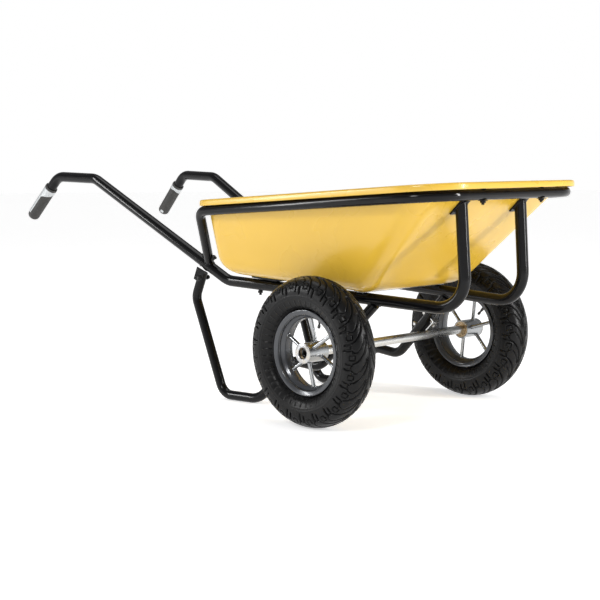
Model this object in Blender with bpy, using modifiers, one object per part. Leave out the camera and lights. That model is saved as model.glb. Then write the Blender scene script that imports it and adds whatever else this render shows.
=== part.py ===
"""A twin-wheel wheelbarrow: a plastic tray on a bent-tube frame with two pneumatic wheels.

X runs from the grips to the nose, Y to the left, Z up from the ground. The origin lies on the
ground under the middle of the length. Points are first written as (x, y, z) with x counted from the
wheel axle, and the function at() moves them into the object's frame. A side is -1 for the right
half and +1 for the left half.
"""

import math

import bmesh
import bpy
from mathutils import Matrix, Vector

# Layout
AXLE_X = 0.4606
GAP = 0.0003
SIDES = {"right": -1, "left": 1}

# Wheels: 4.00-8 pneumatic
WHEEL_RADIUS = 0.200
HALF_TRACK = 0.336
TYRE_HALF_WIDTH = 0.0495
RIM_EDGE = 0.113
BEAD_RADIUS = 0.1016
RIM_HALF_WIDTH = 0.0300
RIM_WELL = 0.0922
RIM_WALL = 0.0022
HUB_RADIUS = 0.0264
HUB_BORE = 0.0200
HUB_OUT = 0.0350
HUB_IN = 0.0370
SPOKE_RADIUS = 0.0052
SPOKE_STAGGER = 0.0150
SPOKE_TIP_STAGGER = 0.0035
SPOKES = 6
SPOKE_START = {-1: math.radians(95.5), 1: math.radians(76.5)}
VALVE_ANGLE = {-1: math.radians(78), 1: math.radians(46)}
VALVE_OFFSET = -0.0110
AXLE_RADIUS = 0.0125
AXLE_WALL = 0.0025
AXLE_HALF_LENGTH = 0.3600

# Bent-tube frame
HANDLE_RADIUS = 0.0160
LEG_RADIUS = 0.0140
RAIL_RADIUS = 0.0140
NOSE_X = 0.342
NOSE_HALF_WIDTH = 0.127
SPLAY = 0.0912
HANDLE_END = (-1.331, 0.524)
HANDLE_BENDS = [(-1.200, 0.653), (-1.026, 0.647), (-0.466, 0.352), (0.342, 0.314)]
HANDLE_BEND_RADII = [0.060, 0.075, 0.080, 0.080]
UPRIGHT_TOP_X = 0.320
LEG_TOP = (-0.566, 0.372)
LEG_BENDS = [(-0.596, 0.297), (-0.490, 0.014), (-0.350, 0.014), (-0.232, 0.138), (-0.131, 0.129)]
LEG_BEND_RADII = [0.045, 0.045, 0.080, 0.050, 0.055]
LEG_END = (0.0573, 0.3135)
RAIL_Z = 0.5865
RAIL_RISE = 0.0622
RAIL_HALF_WIDTH = 0.327
RAIL_REAR_X = -0.447
RAIL_FRONT_X = 0.392
RAIL_END = (-0.540, 0.400)
RAIL_REAR_BEND = 0.048
RAIL_FRONT_BEND = 0.120

# Tray
WALL = 0.0035
FLOOR_Z = 0.3508
FLOOR_FALL = 0.0657
FLOOR_REAR_X = -0.432
FLOOR_FRONT_X = 0.0700
FLOOR_REAR_HALF_WIDTH = 0.2800
FLOOR_FRONT_HALF_WIDTH = 0.2260
FLOOR_BEND = 0.066
FRONT_BEND_SHARE = 0.5
WALL_BEND_SHARE = 0.26
FLANGE_LIFT = 0.0135
LIP_HEIGHT = 0.0170
LIP_BEND = 0.0060
WALL_TOP_REAR_X = -0.458
WALL_TOP_FRONT_X = 0.3790
WALL_TOP_HALF_WIDTH = 0.3080
LIP_REAR_X = -0.474
LIP_FRONT_X = 0.4230
LIP_HALF_WIDTH = 0.3420
NOSE_BOW = 0.012

# Plates, bars and fasteners
PLATE_THICKNESS = 0.0050
PLATE_SIZE = (0.087, 0.036)
PLATE_SHIFT = 0.0135
PLATE_BOLT = 0.046
BOLT_RADIUS = 0.0040
HEX_RADIUS = 0.0075
REAR_BAR_X = -0.320
REAR_BAR_SIZE = (0.104, 0.398, 0.0080)
FRONT_BAR_X = 0.018
FRONT_BAR_SIZE = (0.034, 0.350, 0.0030)
STUD_X = -0.344
RIM_BOLT_Y = 0.128
RAIL_END_BOLT = 0.030
CLAMP_SIZE = (0.040, 0.030, 0.0040)
CLAMP_BOLT = (0.044, 0.006, 0.0)
SADDLE_LENGTH = 0.078
SADDLE_WIDTH = 0.028
SADDLE_THICKNESS = 0.0030
SADDLE_BOLT = 0.025

# Grips
GRIP_LENGTH = 0.128
GRIP_RADIUS = 0.0192
INLAY_THICKNESS = 0.0016
INLAY_HALF_ANGLE = math.radians(42)
INLAY_START = 0.014
COLLAR_LENGTH = 0.008


def clear_scene():
    for obj in list(bpy.data.objects):
        bpy.data.objects.remove(obj, do_unlink=True)


def new_collection(name, hidden=False):
    made = bpy.data.collections.new(name)
    bpy.context.scene.collection.children.link(made)
    made.hide_render = hidden
    return made


def principled(name, colour, roughness, metallic):
    made = bpy.data.materials.new(name)
    made.use_nodes = True
    shader = made.node_tree.nodes["Principled BSDF"]
    shader.inputs["Base Color"].default_value = (*colour, 1.0)
    shader.inputs["Roughness"].default_value = roughness
    shader.inputs["Metallic"].default_value = metallic
    return made


def at(x, y, z):
    return Vector((x + AXLE_X, y, z))


def frame_y(x):
    """Half the distance between the two splayed side frames, x metres ahead of the axle."""
    return NOSE_HALF_WIDTH + SPLAY * (NOSE_X - x)


def on_frame(point, side):
    x, z = point
    return at(x, side * frame_y(x), z)


def pointing(direction, roll_to=Vector((0, 0, 1))):
    """A rotation that turns local Z to the direction and local X as near to roll_to as it can."""
    z = Vector(direction).normalized()
    x = roll_to - z * roll_to.dot(z)
    if x.length < 1e-6:
        x = z.orthogonal()
    x.normalize()
    return Matrix((x, z.cross(x), z)).transposed().to_4x4()


def add(name, data, material, smooth_angle=35):
    obj = bpy.data.objects.new(name, data)
    PARTS.objects.link(obj)
    if data.materials:
        data.materials.clear()
    data.materials.append(material)
    if isinstance(data, bpy.types.Mesh):
        data.shade_smooth()
        data.set_sharp_from_angle(angle=math.radians(smooth_angle))
    return obj


def filleted(points, radii, steps=5):
    """The points of a path whose inner corners are rounded by arcs of the given radii."""
    path = [points[0].copy()]
    for before, corner, after, radius in zip(points, points[1:], points[2:], radii):
        back = (before - corner).normalized()
        ahead = (after - corner).normalized()
        half = back.angle(ahead) / 2
        centre = corner + (back + ahead).normalized() * radius / math.sin(half)
        start = corner + back * radius / math.tan(half) - centre
        end = corner + ahead * radius / math.tan(half) - centre
        path += [centre + start.slerp(end, i / steps) * radius for i in range(steps + 1)]
    path.append(points[-1].copy())
    return path


def tube_curve(name, path, radius, resolution=3):
    curve = bpy.data.curves.new(name, "CURVE")
    curve.dimensions = "3D"
    curve.bevel_depth = radius
    curve.bevel_resolution = resolution
    curve.use_fill_caps = True
    spline = curve.splines.new("POLY")
    spline.points.add(len(path) - 1)
    for point, place in zip(spline.points, path):
        point.co = (*place, 1.0)
    return curve


def solid_from_curve(name, curve, material, matrix=Matrix.Identity(4)):
    """Makes the curve a mesh with welded caps, so that it can be cut."""
    guide = bpy.data.objects.new(name + "_curve", curve)
    PARTS.objects.link(guide)
    guide.matrix_world = matrix
    bpy.context.view_layer.update()
    graph = bpy.context.evaluated_depsgraph_get()
    mesh = bpy.data.meshes.new_from_object(guide.evaluated_get(graph))
    bpy.data.objects.remove(guide, do_unlink=True)
    body = bmesh.new()
    body.from_mesh(mesh)
    bmesh.ops.remove_doubles(body, verts=body.verts, dist=1e-5)
    bmesh.ops.recalc_face_normals(body, faces=body.faces)
    body.to_mesh(mesh)
    body.free()
    obj = add(name, mesh, material)
    obj.matrix_world = matrix
    return obj


def tube(name, path, radius, material, resolution=3):
    """A bent bar along the path."""
    return solid_from_curve(name, tube_curve(name, path, radius, resolution), material)


def extruded(name, outline, thickness, material, matrix):
    """A flat outline in local X and Y, as thick as given along local Z and centred on it."""
    curve = bpy.data.curves.new(name, "CURVE")
    curve.dimensions = "2D"
    curve.fill_mode = "BOTH"
    curve.extrude = thickness / 2
    spline = curve.splines.new("POLY")
    spline.points.add(len(outline) - 1)
    for point, (x, y) in zip(spline.points, outline):
        point.co = (x, y, 0, 1)
    spline.use_cyclic_u = True
    return solid_from_curve(name, curve, material, matrix)


def turned(name, profile, material, place, axis, steps=20, closed=True):
    """Turns (radius, height) points about the axis; the outer side runs from top to bottom.

    A profile that isn't closed starts and ends on the axis.
    """
    mesh = bpy.data.meshes.new(name)
    body = bmesh.new()
    corners = [body.verts.new((radius, 0, height)) for radius, height in profile]
    after = corners[1:] + corners[:1] if closed else corners[1:]
    for first, second in zip(corners, after):
        body.edges.new((first, second))
    body.to_mesh(mesh)
    body.free()
    obj = add(name, mesh, material)
    obj.matrix_world = Matrix.Translation(place) @ pointing(axis)
    screw = obj.modifiers.new("Turn", "SCREW")
    screw.steps = steps
    screw.render_steps = steps
    screw.use_merge_vertices = True
    screw.merge_threshold = 1e-5
    screw.use_smooth_shade = True
    return obj


def rod_cutter(name, start, end, radius, steps=16):
    """A cylinder from start to end, kept with the cutters."""
    body = bmesh.new()
    length = (end - start).length
    bmesh.ops.create_cone(
        body, cap_ends=True, segments=steps, radius1=radius, radius2=radius, depth=length
    )
    mesh = bpy.data.meshes.new(name)
    body.to_mesh(mesh)
    body.free()
    return add_cutter(name, mesh, Matrix.Translation((start + end) / 2) @ pointing(end - start))


def box_mesh(name, size):
    body = bmesh.new()
    bmesh.ops.create_cube(body, size=1.0, matrix=Matrix.Diagonal((*size, 1.0)))
    mesh = bpy.data.meshes.new(name)
    body.to_mesh(mesh)
    body.free()
    return mesh


def add_cutter(name, mesh, matrix):
    cutter = bpy.data.objects.new(name, mesh)
    CUTTERS.objects.link(cutter)
    cutter.matrix_world = matrix
    cutter.hide_render = True
    cutter.display_type = "WIRE"
    return cutter


def cut(obj, cutter, operation="DIFFERENCE"):
    boolean = obj.modifiers.new(cutter.name, "BOOLEAN")
    boolean.operation = operation
    boolean.object = cutter
    boolean.solver = "EXACT"


def drill(obj, name, middle, direction, radius, length):
    half = Vector(direction).normalized() * length / 2
    cut(obj, rod_cutter(name, middle - half, middle + half, radius + GAP))


def bevelled(obj, width, segments=1, angle=40):
    bevel = obj.modifiers.new("Edges", "BEVEL")
    bevel.width = width
    bevel.segments = segments
    bevel.limit_method = "ANGLE"
    bevel.angle_limit = math.radians(angle)


def plate(name, size, matrix, material, edge=0.0008):
    obj = add(name, box_mesh(name, size), material)
    obj.matrix_world = matrix
    bevelled(obj, edge)
    return obj


def section(height, radius, hexagonal=False, around=12):
    """One ring of a fastener: round, or hexagonal with its corners at every second point."""
    flat = math.cos(math.pi / 6)
    ring = []
    for i in range(around):
        reach = radius * (flat if hexagonal and i % 2 else 1.0)
        angle = 2 * math.pi * i / around
        ring.append((reach * math.cos(angle), reach * math.sin(angle), height))
    return ring


def skinned(name, rings, material, matrix, smooth_angle=35):
    """A closed body through rings of as many points each, from the lowest to the highest."""
    body = bmesh.new()
    rows = [[body.verts.new(point) for point in ring] for ring in rings]
    for low, high in zip(rows, rows[1:]):
        for i in range(len(low)):
            j = (i + 1) % len(low)
            body.faces.new((low[i], low[j], high[j], high[i]))
    body.faces.new(list(reversed(rows[0])))
    body.faces.new(rows[-1])
    mesh = bpy.data.meshes.new(name)
    body.to_mesh(mesh)
    body.free()
    obj = add(name, mesh, material, smooth_angle)
    obj.matrix_world = matrix
    return obj


def bolt(name, place, axis, grip, head="dome", washer=0.0, tail=0.005, material=None):
    """A bolt through a stack of the given grip: its head ends at place and its nut at the far side."""
    nut = 0.0065
    rings = [
        section(-grip - nut - tail, BOLT_RADIUS - 0.0008),
        section(-grip - nut - tail + 0.0008, BOLT_RADIUS),
        section(-grip - nut, BOLT_RADIUS),
        section(-grip - nut, HEX_RADIUS, True),
        section(-grip, HEX_RADIUS, True),
    ]
    if washer:
        rings[-1] = section(-grip - 0.0015, HEX_RADIUS, True)
        rings += [section(-grip - 0.0015, washer), section(-grip, washer)]
    rings += [section(-grip, BOLT_RADIUS), section(0, BOLT_RADIUS)]
    if head == "dome":
        rings += [section(0, 0.0088), section(0.0018, 0.0085), section(0.0042, 0.0058), section(0.005, 0.002)]
    else:
        rings += [section(0, HEX_RADIUS, True), section(0.0055, HEX_RADIUS, True)]
    matrix = Matrix.Translation(place) @ pointing(axis)
    return skinned(name, rings, material or STEEL_DARK, matrix)


def arc(centre, radius, start, sweep, steps):
    """Points of an arc round a centre in the plane, its angles in radians."""
    x, y = centre
    angles = [start + sweep * i / steps for i in range(steps + 1)]
    return [(x + radius * math.cos(a), y + radius * math.sin(a)) for a in angles]


def rounded_outline(rear_x, front_x, rear_half, front_half, rear_radius, front_radius, bow):
    """A closed outline seen from above: four sides with rounded corners and a nose bowed forward.

    It starts at the middle of the nose and runs anticlockwise.
    """
    quarter = math.pi / 2
    taper = math.atan2(rear_half - front_half, front_x - rear_x)
    front_y = front_half - front_radius
    front = arc((front_x - front_radius, front_y), front_radius, 0, quarter + taper, 5)
    rear_y = rear_half - rear_radius
    rear = arc((rear_x + rear_radius, rear_y), rear_radius, quarter + taper, quarter - taper, 5)
    nose = [(front_x, front_y * i / 3) for i in range(3)]
    start = Vector(front[-1])
    end = Vector(rear[0])
    side = [tuple(start.lerp(end, i / 5)) for i in range(1, 5)]
    back = [(rear_x, rear_y / 2)]
    half = nose + front + side + rear + back + [(rear_x, 0.0)]
    reach = front_radius + front_x - side[0][0]
    bowed = []
    for x, y in half:
        near_nose = max(0.0, 1 - (front_x - x) / reach)
        bowed.append((x + bow * near_nose * (1 - (y / front_half) ** 2), y))
    return bowed + [(x, -y) for x, y in reversed(bowed[1:-1])]


def rail_z(x):
    return RAIL_Z + RAIL_RISE * x


def floor_z(x):
    return FLOOR_Z - FLOOR_FALL * x


def flange_z(x):
    """Height of the upper side of the tray's flange."""
    return rail_z(x) + RAIL_RADIUS + FLANGE_LIFT + WALL


FLOOR_EDGE = {
    "rear_x": FLOOR_REAR_X,
    "front_x": FLOOR_FRONT_X,
    "rear_half": FLOOR_REAR_HALF_WIDTH,
    "front_half": FLOOR_FRONT_HALF_WIDTH,
    "rear_radius": 0.050,
    "front_radius": 0.045,
    "bow": 0.0,
}
WALL_TOP = {
    "rear_x": WALL_TOP_REAR_X,
    "front_x": WALL_TOP_FRONT_X,
    "rear_half": WALL_TOP_HALF_WIDTH,
    "front_half": WALL_TOP_HALF_WIDTH,
    "rear_radius": 0.045,
    "front_radius": 0.075,
    "bow": 0.0,
}
LIP_EDGE = {
    "rear_x": LIP_REAR_X,
    "front_x": LIP_FRONT_X - NOSE_BOW,
    "rear_half": LIP_HALF_WIDTH,
    "front_half": LIP_HALF_WIDTH,
    "rear_radius": 0.072,
    "front_radius": 0.130,
    "bow": NOSE_BOW,
}


def mixed(first, second, share):
    return {key: first[key] + (second[key] - first[key]) * share for key in first}


def wall_ring(share):
    """A ring on the tray's inner wall, from the floor's sharp edge (0) to the top (1)."""
    ring = []
    low = rounded_outline(**FLOOR_EDGE)
    high = rounded_outline(**WALL_TOP)
    here = rounded_outline(**mixed(FLOOR_EDGE, WALL_TOP, share))
    for (x_low, _), (x_high, _), (x, y) in zip(low, high, here):
        z_low = floor_z(x_low) + WALL
        ring.append(at(x, y, z_low + (flange_z(x_high) - z_low) * share))
    return ring


def floor_ring(inset):
    """A ring on the tray's floor, set in from its sharp edge."""
    inner = dict(FLOOR_EDGE)
    inner["rear_x"] += inset
    inner["front_x"] -= inset * FRONT_BEND_SHARE
    inner["rear_half"] -= inset
    inner["front_half"] -= inset
    inner["rear_radius"] = max(0.012, FLOOR_EDGE["rear_radius"] - inset * 0.5)
    inner["front_radius"] = max(0.012, FLOOR_EDGE["front_radius"] - inset * 0.5)
    return [at(x, y, floor_z(x) + WALL) for x, y in rounded_outline(**inner)]


def tray_rings():
    """Rings of the tray's inner and upper surface, from the floor to the lip's lower edge."""
    rings = [floor_ring(FLOOR_BEND + 0.09), floor_ring(FLOOR_BEND + 0.03)]
    inner = floor_ring(FLOOR_BEND)
    corner = wall_ring(0.0)
    upper = wall_ring(WALL_BEND_SHARE)
    for i in range(5):
        share = i / 4
        weights = ((1 - share) ** 2, 2 * share * (1 - share), share**2)
        rings.append(
            [weights[0] * a + weights[1] * b + weights[2] * c for a, b, c in zip(inner, corner, upper)]
        )
    rings += [wall_ring(share) for share in (0.52, 0.76, 0.97)]
    for share, drop in ((0.16, 0.0012), (0.36, 0.0), (0.80, 0.0), (0.94, 0.0014), (1.0, 0.0055)):
        outline = rounded_outline(**mixed(WALL_TOP, LIP_EDGE, share))
        rings.append([at(x, y, flange_z(x) - drop) for x, y in outline])
    outline = rounded_outline(**LIP_EDGE)
    rings.append([at(x, y, flange_z(x) - LIP_HEIGHT) for x, y in outline])
    return rings


def make_tray():
    rings = tray_rings()
    body = bmesh.new()
    rows = [[body.verts.new(point) for point in ring] for ring in rings]
    for low, high in zip(rows, rows[1:]):
        for i in range(len(low)):
            j = (i + 1) % len(low)
            body.faces.new((low[i], low[j], high[j], high[i]))
    body.faces.new(rows[0])
    bmesh.ops.recalc_face_normals(body, faces=body.faces)
    body.faces.ensure_lookup_table()
    if body.faces[-1].normal.z < 0:
        bmesh.ops.reverse_faces(body, faces=body.faces)
    mesh = bpy.data.meshes.new("tray")
    body.to_mesh(mesh)
    body.free()
    obj = add("tray", mesh, YELLOW, 60)
    shell = obj.modifiers.new("Wall", "SOLIDIFY")
    shell.thickness = WALL
    shell.offset = -1
    shell.use_even_offset = True
    shell.use_rim = True
    for name, side in SIDES.items():
        up = plate_matrix(side).to_3x3() @ Vector((0, 0, 1))
        drill(obj, name + "_tray_plate_hole", plate_bolt_place(side), up, BOLT_RADIUS, 0.03)
    return obj


def front_wall():
    """The outer side of the tray's front wall in the side view: a point under it and its angle."""
    low = Vector((FLOOR_FRONT_X, floor_z(FLOOR_FRONT_X) + WALL))
    high = Vector((WALL_TOP_FRONT_X, flange_z(WALL_TOP_FRONT_X)))
    rise = high - low
    angle = math.atan2(rise.y, rise.x)
    share = (UPRIGHT_TOP_X - low.x) / rise.x
    inner = low + rise * share
    down = Vector((math.sin(angle), -math.cos(angle)))
    return inner + down * (WALL + GAP + PLATE_THICKNESS / 2), angle


def plate_bolt_place(side):
    """Where the bolt through the front wall and the upright's plate meets the wall's inner side."""
    lift = PLATE_THICKNESS / 2 + WALL + 2 * GAP
    return plate_matrix(side) @ Vector((PLATE_BOLT, 0, lift))


def handle_path(side):
    points = [on_frame(HANDLE_END, side)]
    points += [on_frame(point, side) for point in HANDLE_BENDS]
    top, _ = front_wall()
    beyond = top + (top - Vector(HANDLE_BENDS[-1])) * 0.2
    points.append(on_frame(beyond, side))
    return points


def plate_matrix(side):
    """Local X runs up the tray's front wall, local Y across and local Z toward the tray."""
    top, angle = front_wall()
    return Matrix.Translation(on_frame(top, side)) @ Matrix.Rotation(-angle, 4, "Y")


def make_handle_tube(name, side):
    obj = tube(name + "_handle_tube", filleted(handle_path(side), HANDLE_BEND_RADII), HANDLE_RADIUS, GLOSS_BLACK)
    slab = (0.16, 0.12, 0.10)
    lift = slab[2] / 2 - PLATE_THICKNESS / 2 - GAP
    cutter = add_cutter(name + "_upright_cut", box_mesh("upright_cut", slab), plate_matrix(side) @ Matrix.Translation((0, 0, lift)))
    cut(obj, cutter)
    place = make_stud(name, side)
    drill(obj, name + "_stud_hole", place, (0, 0, 1), BOLT_RADIUS, 0.09)
    return obj


def make_upright_plate(name, side):
    """The plate on top of an upright, its bolt through the tray, and the bolt through the rail."""
    matrix = plate_matrix(side)
    obj = plate(
        name + "_upright_plate",
        (*PLATE_SIZE, PLATE_THICKNESS),
        matrix @ Matrix.Translation((PLATE_SHIFT, 0, 0)),
        GLOSS_BLACK,
    )
    up = matrix.to_3x3() @ Vector((0, 0, 1))
    place = plate_bolt_place(side)
    drill(obj, name + "_plate_hole", place, up, BOLT_RADIUS, 0.04)
    bolt(name + "_plate_bolt", place + up * GAP, up, PLATE_THICKNESS + WALL + 4 * GAP)
    head = at(RAIL_FRONT_X, side * RIM_BOLT_Y, rail_z(RAIL_FRONT_X) + RAIL_RADIUS + GAP)
    bolt(name + "_rim_bolt", head, (0, 0, 1), 2 * (RAIL_RADIUS + GAP), washer=0.0125)


def make_leg_tube(name, side):
    points = [on_frame(LEG_TOP, side)]
    points += [on_frame(point, side) for point in LEG_BENDS]
    points.append(on_frame(LEG_END, side))
    obj = tube(name + "_leg_tube", filleted(points, LEG_BEND_RADII), LEG_RADIUS, GLOSS_BLACK)
    lower = rod_cutter(
        name + "_strut_cope",
        on_frame(HANDLE_BENDS[2], side),
        on_frame(HANDLE_BENDS[3], side),
        HANDLE_RADIUS + GAP,
        32,
    )
    upper = rod_cutter(
        name + "_leg_cope",
        on_frame(HANDLE_BENDS[1], side),
        on_frame(HANDLE_BENDS[2], side),
        HANDLE_RADIUS + GAP,
        32,
    )
    cut(obj, lower)
    cut(obj, upper)
    matrix = clamp_matrix(side)
    out = Vector((0, side, 0))
    middle = matrix @ Vector(CLAMP_BOLT)
    drill(obj, name + "_leg_bolt_hole", middle, matrix.to_3x3() @ Vector((0, 0, 1)), BOLT_RADIUS, 0.06)
    make_clamp(name, side, matrix, middle, out)
    return obj


def clamp_matrix(side):
    """Local X runs down the leg's top, local Z out of the side frame, from the handle tube's axis."""
    start = Vector(HANDLE_BENDS[1])
    end = Vector(HANDLE_BENDS[2])
    top = Vector(LEG_TOP)
    down = (Vector(LEG_BENDS[0]) - top).normalized()
    normal = Vector((start.y - end.y, end.x - start.x)).normalized()
    reach = (start - top).dot(normal) / down.dot(normal)
    meet = top + down * reach
    x_axis = (on_frame(meet + down, side) - on_frame(meet, side)).normalized()
    outward = Vector((SPLAY, side, 0)) if side > 0 else Vector((SPLAY, side, 0))
    z_axis = (outward - x_axis * outward.dot(x_axis)).normalized()
    turn = Matrix((x_axis, z_axis.cross(x_axis), z_axis)).transposed().to_4x4()
    return Matrix.Translation(on_frame(meet, side)) @ turn


def make_clamp(name, side, matrix, middle, out):
    """The plate on the leg's top, below the handle tube, and its bolt through the leg."""
    start = HANDLE_RADIUS + 2 * GAP
    place = Vector((start + CLAMP_SIZE[0] / 2, 0, LEG_RADIUS + GAP + CLAMP_SIZE[2] / 2))
    obj = plate(name + "_leg_clamp", CLAMP_SIZE, matrix @ Matrix.Translation(place), GLOSS_BLACK, 0.0012)
    outward = matrix.to_3x3() @ Vector((0, 0, 1))
    drill(obj, name + "_clamp_hole", middle, outward, BOLT_RADIUS, 0.08)
    depth = LEG_RADIUS + CLAMP_SIZE[2] + 2 * GAP
    bolt(name + "_leg_bolt", middle + outward * depth, outward, depth + LEG_RADIUS)


def rail_path():
    half = []
    for side in (-1, 1):
        start = on_frame(RAIL_END, side)
        rear = at(RAIL_REAR_X, side * RAIL_HALF_WIDTH, rail_z(RAIL_REAR_X))
        front = at(RAIL_FRONT_X, side * RAIL_HALF_WIDTH, rail_z(RAIL_FRONT_X))
        half.append([start, rear, front])
    return half[0] + list(reversed(half[1]))


def make_rim_rail():
    radii = [RAIL_REAR_BEND, RAIL_FRONT_BEND, RAIL_FRONT_BEND, RAIL_REAR_BEND]
    obj = tube("rim_rail", filleted(rail_path(), radii), RAIL_RADIUS, GLOSS_BLACK)
    for name, side in SIDES.items():
        start = on_frame(HANDLE_BENDS[1], side)
        end = on_frame(HANDLE_BENDS[2], side)
        cut(obj, rod_cutter(name + "_rail_cope", start, end, HANDLE_RADIUS + GAP, 32))
        place = at(RAIL_FRONT_X, side * RIM_BOLT_Y, rail_z(RAIL_FRONT_X))
        drill(obj, name + "_rail_rim_hole", place, (0, 0, 1), BOLT_RADIUS, 0.05)
        place, axis = rail_end_bolt(side)
        drill(obj, name + "_rail_end_hole", place, axis, BOLT_RADIUS, 0.05)
        head = place - axis * (RAIL_RADIUS + GAP)
        bolt(name + "_rail_end_bolt", head, -axis, 2 * (RAIL_RADIUS + GAP))
    return obj


def rail_end_bolt(side):
    """The middle and the direction, rear to front, of the bolt through a rail's lower end."""
    end = on_frame(RAIL_END, side)
    corner = at(RAIL_REAR_X, side * RAIL_HALF_WIDTH, rail_z(RAIL_REAR_X))
    along = (corner - end).normalized()
    forward = Vector((1, 0, 0.3))
    return end + along * RAIL_END_BOLT, (forward - along * forward.dot(along)).normalized()


def crossbar_matrix(x, length, thickness):
    """A bar's place on the lower rails, level with the tray's sloping floor."""
    rear, nose = HANDLE_BENDS[2:]
    rail_fall = (rear[1] - nose[1]) / (nose[0] - rear[0])
    lift = GAP + length / 2 * (FLOOR_FALL - rail_fall)
    z = handle_top(x) + thickness / 2 + lift
    return Matrix.Translation(at(x, 0, z)) @ Matrix.Rotation(math.atan(FLOOR_FALL), 4, "Y")


def make_crossbars():
    rear = crossbar_matrix(REAR_BAR_X, REAR_BAR_SIZE[0], REAR_BAR_SIZE[2])
    plate("rear_crossbar", REAR_BAR_SIZE, rear, GLOSS_BLACK, 0.0015)
    front = crossbar_matrix(FRONT_BAR_X, FRONT_BAR_SIZE[0], FRONT_BAR_SIZE[2])
    plate("front_crossbar", FRONT_BAR_SIZE, front, GALVANISED)


def make_stud(name, side):
    """The stud under the rear crossbar, through the lower rail, with its nut below."""
    place = on_frame((STUD_X, handle_top(STUD_X) - GAP), side)
    grip = 2 * HANDLE_RADIUS + 2 * GAP
    nut = 0.0065
    rings = [
        section(-grip - nut - 0.006, BOLT_RADIUS - 0.0008),
        section(-grip - nut - 0.005, BOLT_RADIUS),
        section(-grip - nut, BOLT_RADIUS),
        section(-grip - nut, HEX_RADIUS, True),
        section(-grip, HEX_RADIUS, True),
        section(-grip, BOLT_RADIUS),
        section(-GAP, BOLT_RADIUS),
    ]
    skinned(name + "_crossbar_stud", rings, STEEL_DARK, Matrix.Translation(place))
    return place


def handle_top(x):
    """Height of the top of the lower rails, x metres ahead of the axle."""
    rear = HANDLE_BENDS[2]
    nose = HANDLE_BENDS[3]
    share = (x - rear[0]) / (nose[0] - rear[0])
    return rear[1] + (nose[1] - rear[1]) * share + HANDLE_RADIUS


def mirrored_profile(points):
    """The points and, in reverse order, their mirror images below."""
    return points + [(r, -h) for r, h in reversed(points) if h != 0]


def tyre_profile():
    """(radius, height) round the tyre's section: outside from bead to bead, then inside back."""
    outside = [
        (0.1045, 0.0215),
        (0.1150, 0.0262),
        (0.1250, 0.0410),
        (0.1600, TYRE_HALF_WIDTH),
        (0.1800, 0.0435),
        (0.1935, 0.0290),
        (WHEEL_RADIUS, 0.0),
    ]
    inside = [(0.1045, 0.0165), (0.1150, 0.0200), (0.1300, 0.0360), (0.1780, 0.0350), (0.1880, 0.0)]
    inner = mirrored_profile(inside)
    return mirrored_profile(outside) + list(reversed(inner))


def rim_profile():
    """A drop-centre rim's section: its outer face from edge to edge, then its inner face back."""
    outer = [
        (RIM_EDGE, 0.0276),
        (BEAD_RADIUS + 0.0005, 0.0240),
        (BEAD_RADIUS, 0.0135),
        (RIM_WELL, 0.0085),
    ]
    inner = [
        (RIM_EDGE, 0.0300),
        (BEAD_RADIUS - RIM_WALL, 0.0265),
        (BEAD_RADIUS - RIM_WALL, 0.0155),
        (RIM_WELL - RIM_WALL, 0.0102),
    ]
    return mirrored_profile(outer) + list(reversed(mirrored_profile(inner)))


def wheel_place(side, offset=0.0):
    """A point on the wheel's axis, offset outward from the wheel's middle plane."""
    return at(0, side * (HALF_TRACK + offset), WHEEL_RADIUS)


def around_wheel(side, angle, radius, offset):
    x = radius * math.cos(angle)
    z = WHEEL_RADIUS + radius * math.sin(angle)
    return at(x, side * (HALF_TRACK + offset), z)


def make_hub(name, side, out):
    """The hub shell with its six round spokes, which lean alternately to either end of it."""
    profile = ring_profile(HUB_BORE, HUB_RADIUS, -HUB_IN, HUB_OUT)
    obj = turned(name + "_hub", profile, STEEL, wheel_place(side), out, 24)
    for i in range(SPOKES):
        angle = SPOKE_START[side] + 2 * math.pi * i / SPOKES
        lean = -1 if (i % 2 == 0) == (side < 0) else 1
        start = around_wheel(side, angle, HUB_RADIUS - 0.004, lean * SPOKE_STAGGER)
        end = around_wheel(side, angle, RIM_WELL - RIM_WALL - 0.0018, lean * SPOKE_TIP_STAGGER)
        cut(obj, rod_cutter(f"{name}_spoke_{i + 1}", start, end, SPOKE_RADIUS, 10), "UNION")
    return obj


def ring_profile(inner, outer, low, high):
    return [(outer, high), (outer, low), (inner, low), (inner, high)]


def make_wheel(name, side):
    out = Vector((0, side, 0))
    middle = wheel_place(side)
    turned(name + "_tyre", tyre_profile(), RUBBER, middle, out, 40)
    rim = turned(name + "_rim", rim_profile(), GREY_PAINT, middle, out, 32)
    make_hub(name, side, out)
    radius = 0.0370
    turned(
        name + "_inner_tube",
        [
            (0.1465 + radius * math.cos(a), 0.90 * radius * math.sin(a))
            for a in [math.radians(90 - 36 * i) for i in range(10)]
        ],
        BUTYL,
        middle,
        out,
    )
    low = -HUB_IN
    bearing = (AXLE_RADIUS + GAP, HUB_BORE - GAP)
    turned(name + "_inner_bearing", ring_profile(*bearing, low + 0.001, low + 0.013), BRASS, middle, out)
    turned(name + "_outer_bearing", ring_profile(*bearing, HUB_OUT - 0.028, HUB_OUT - 0.016), BRASS, middle, out)
    turned(
        name + "_hub_face",
        ring_profile(0.0105, HUB_RADIUS + 0.0006, HUB_OUT + GAP, HUB_OUT + 0.0018),
        ZINC,
        middle,
        out,
        24,
    )
    turned(
        name + "_retaining_ring",
        ring_profile(AXLE_RADIUS + GAP, 0.0172, HUB_OUT - 0.0156, HUB_OUT - 0.0136),
        ZINC,
        middle,
        out,
    )
    make_valve(name, side, rim)


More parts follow.
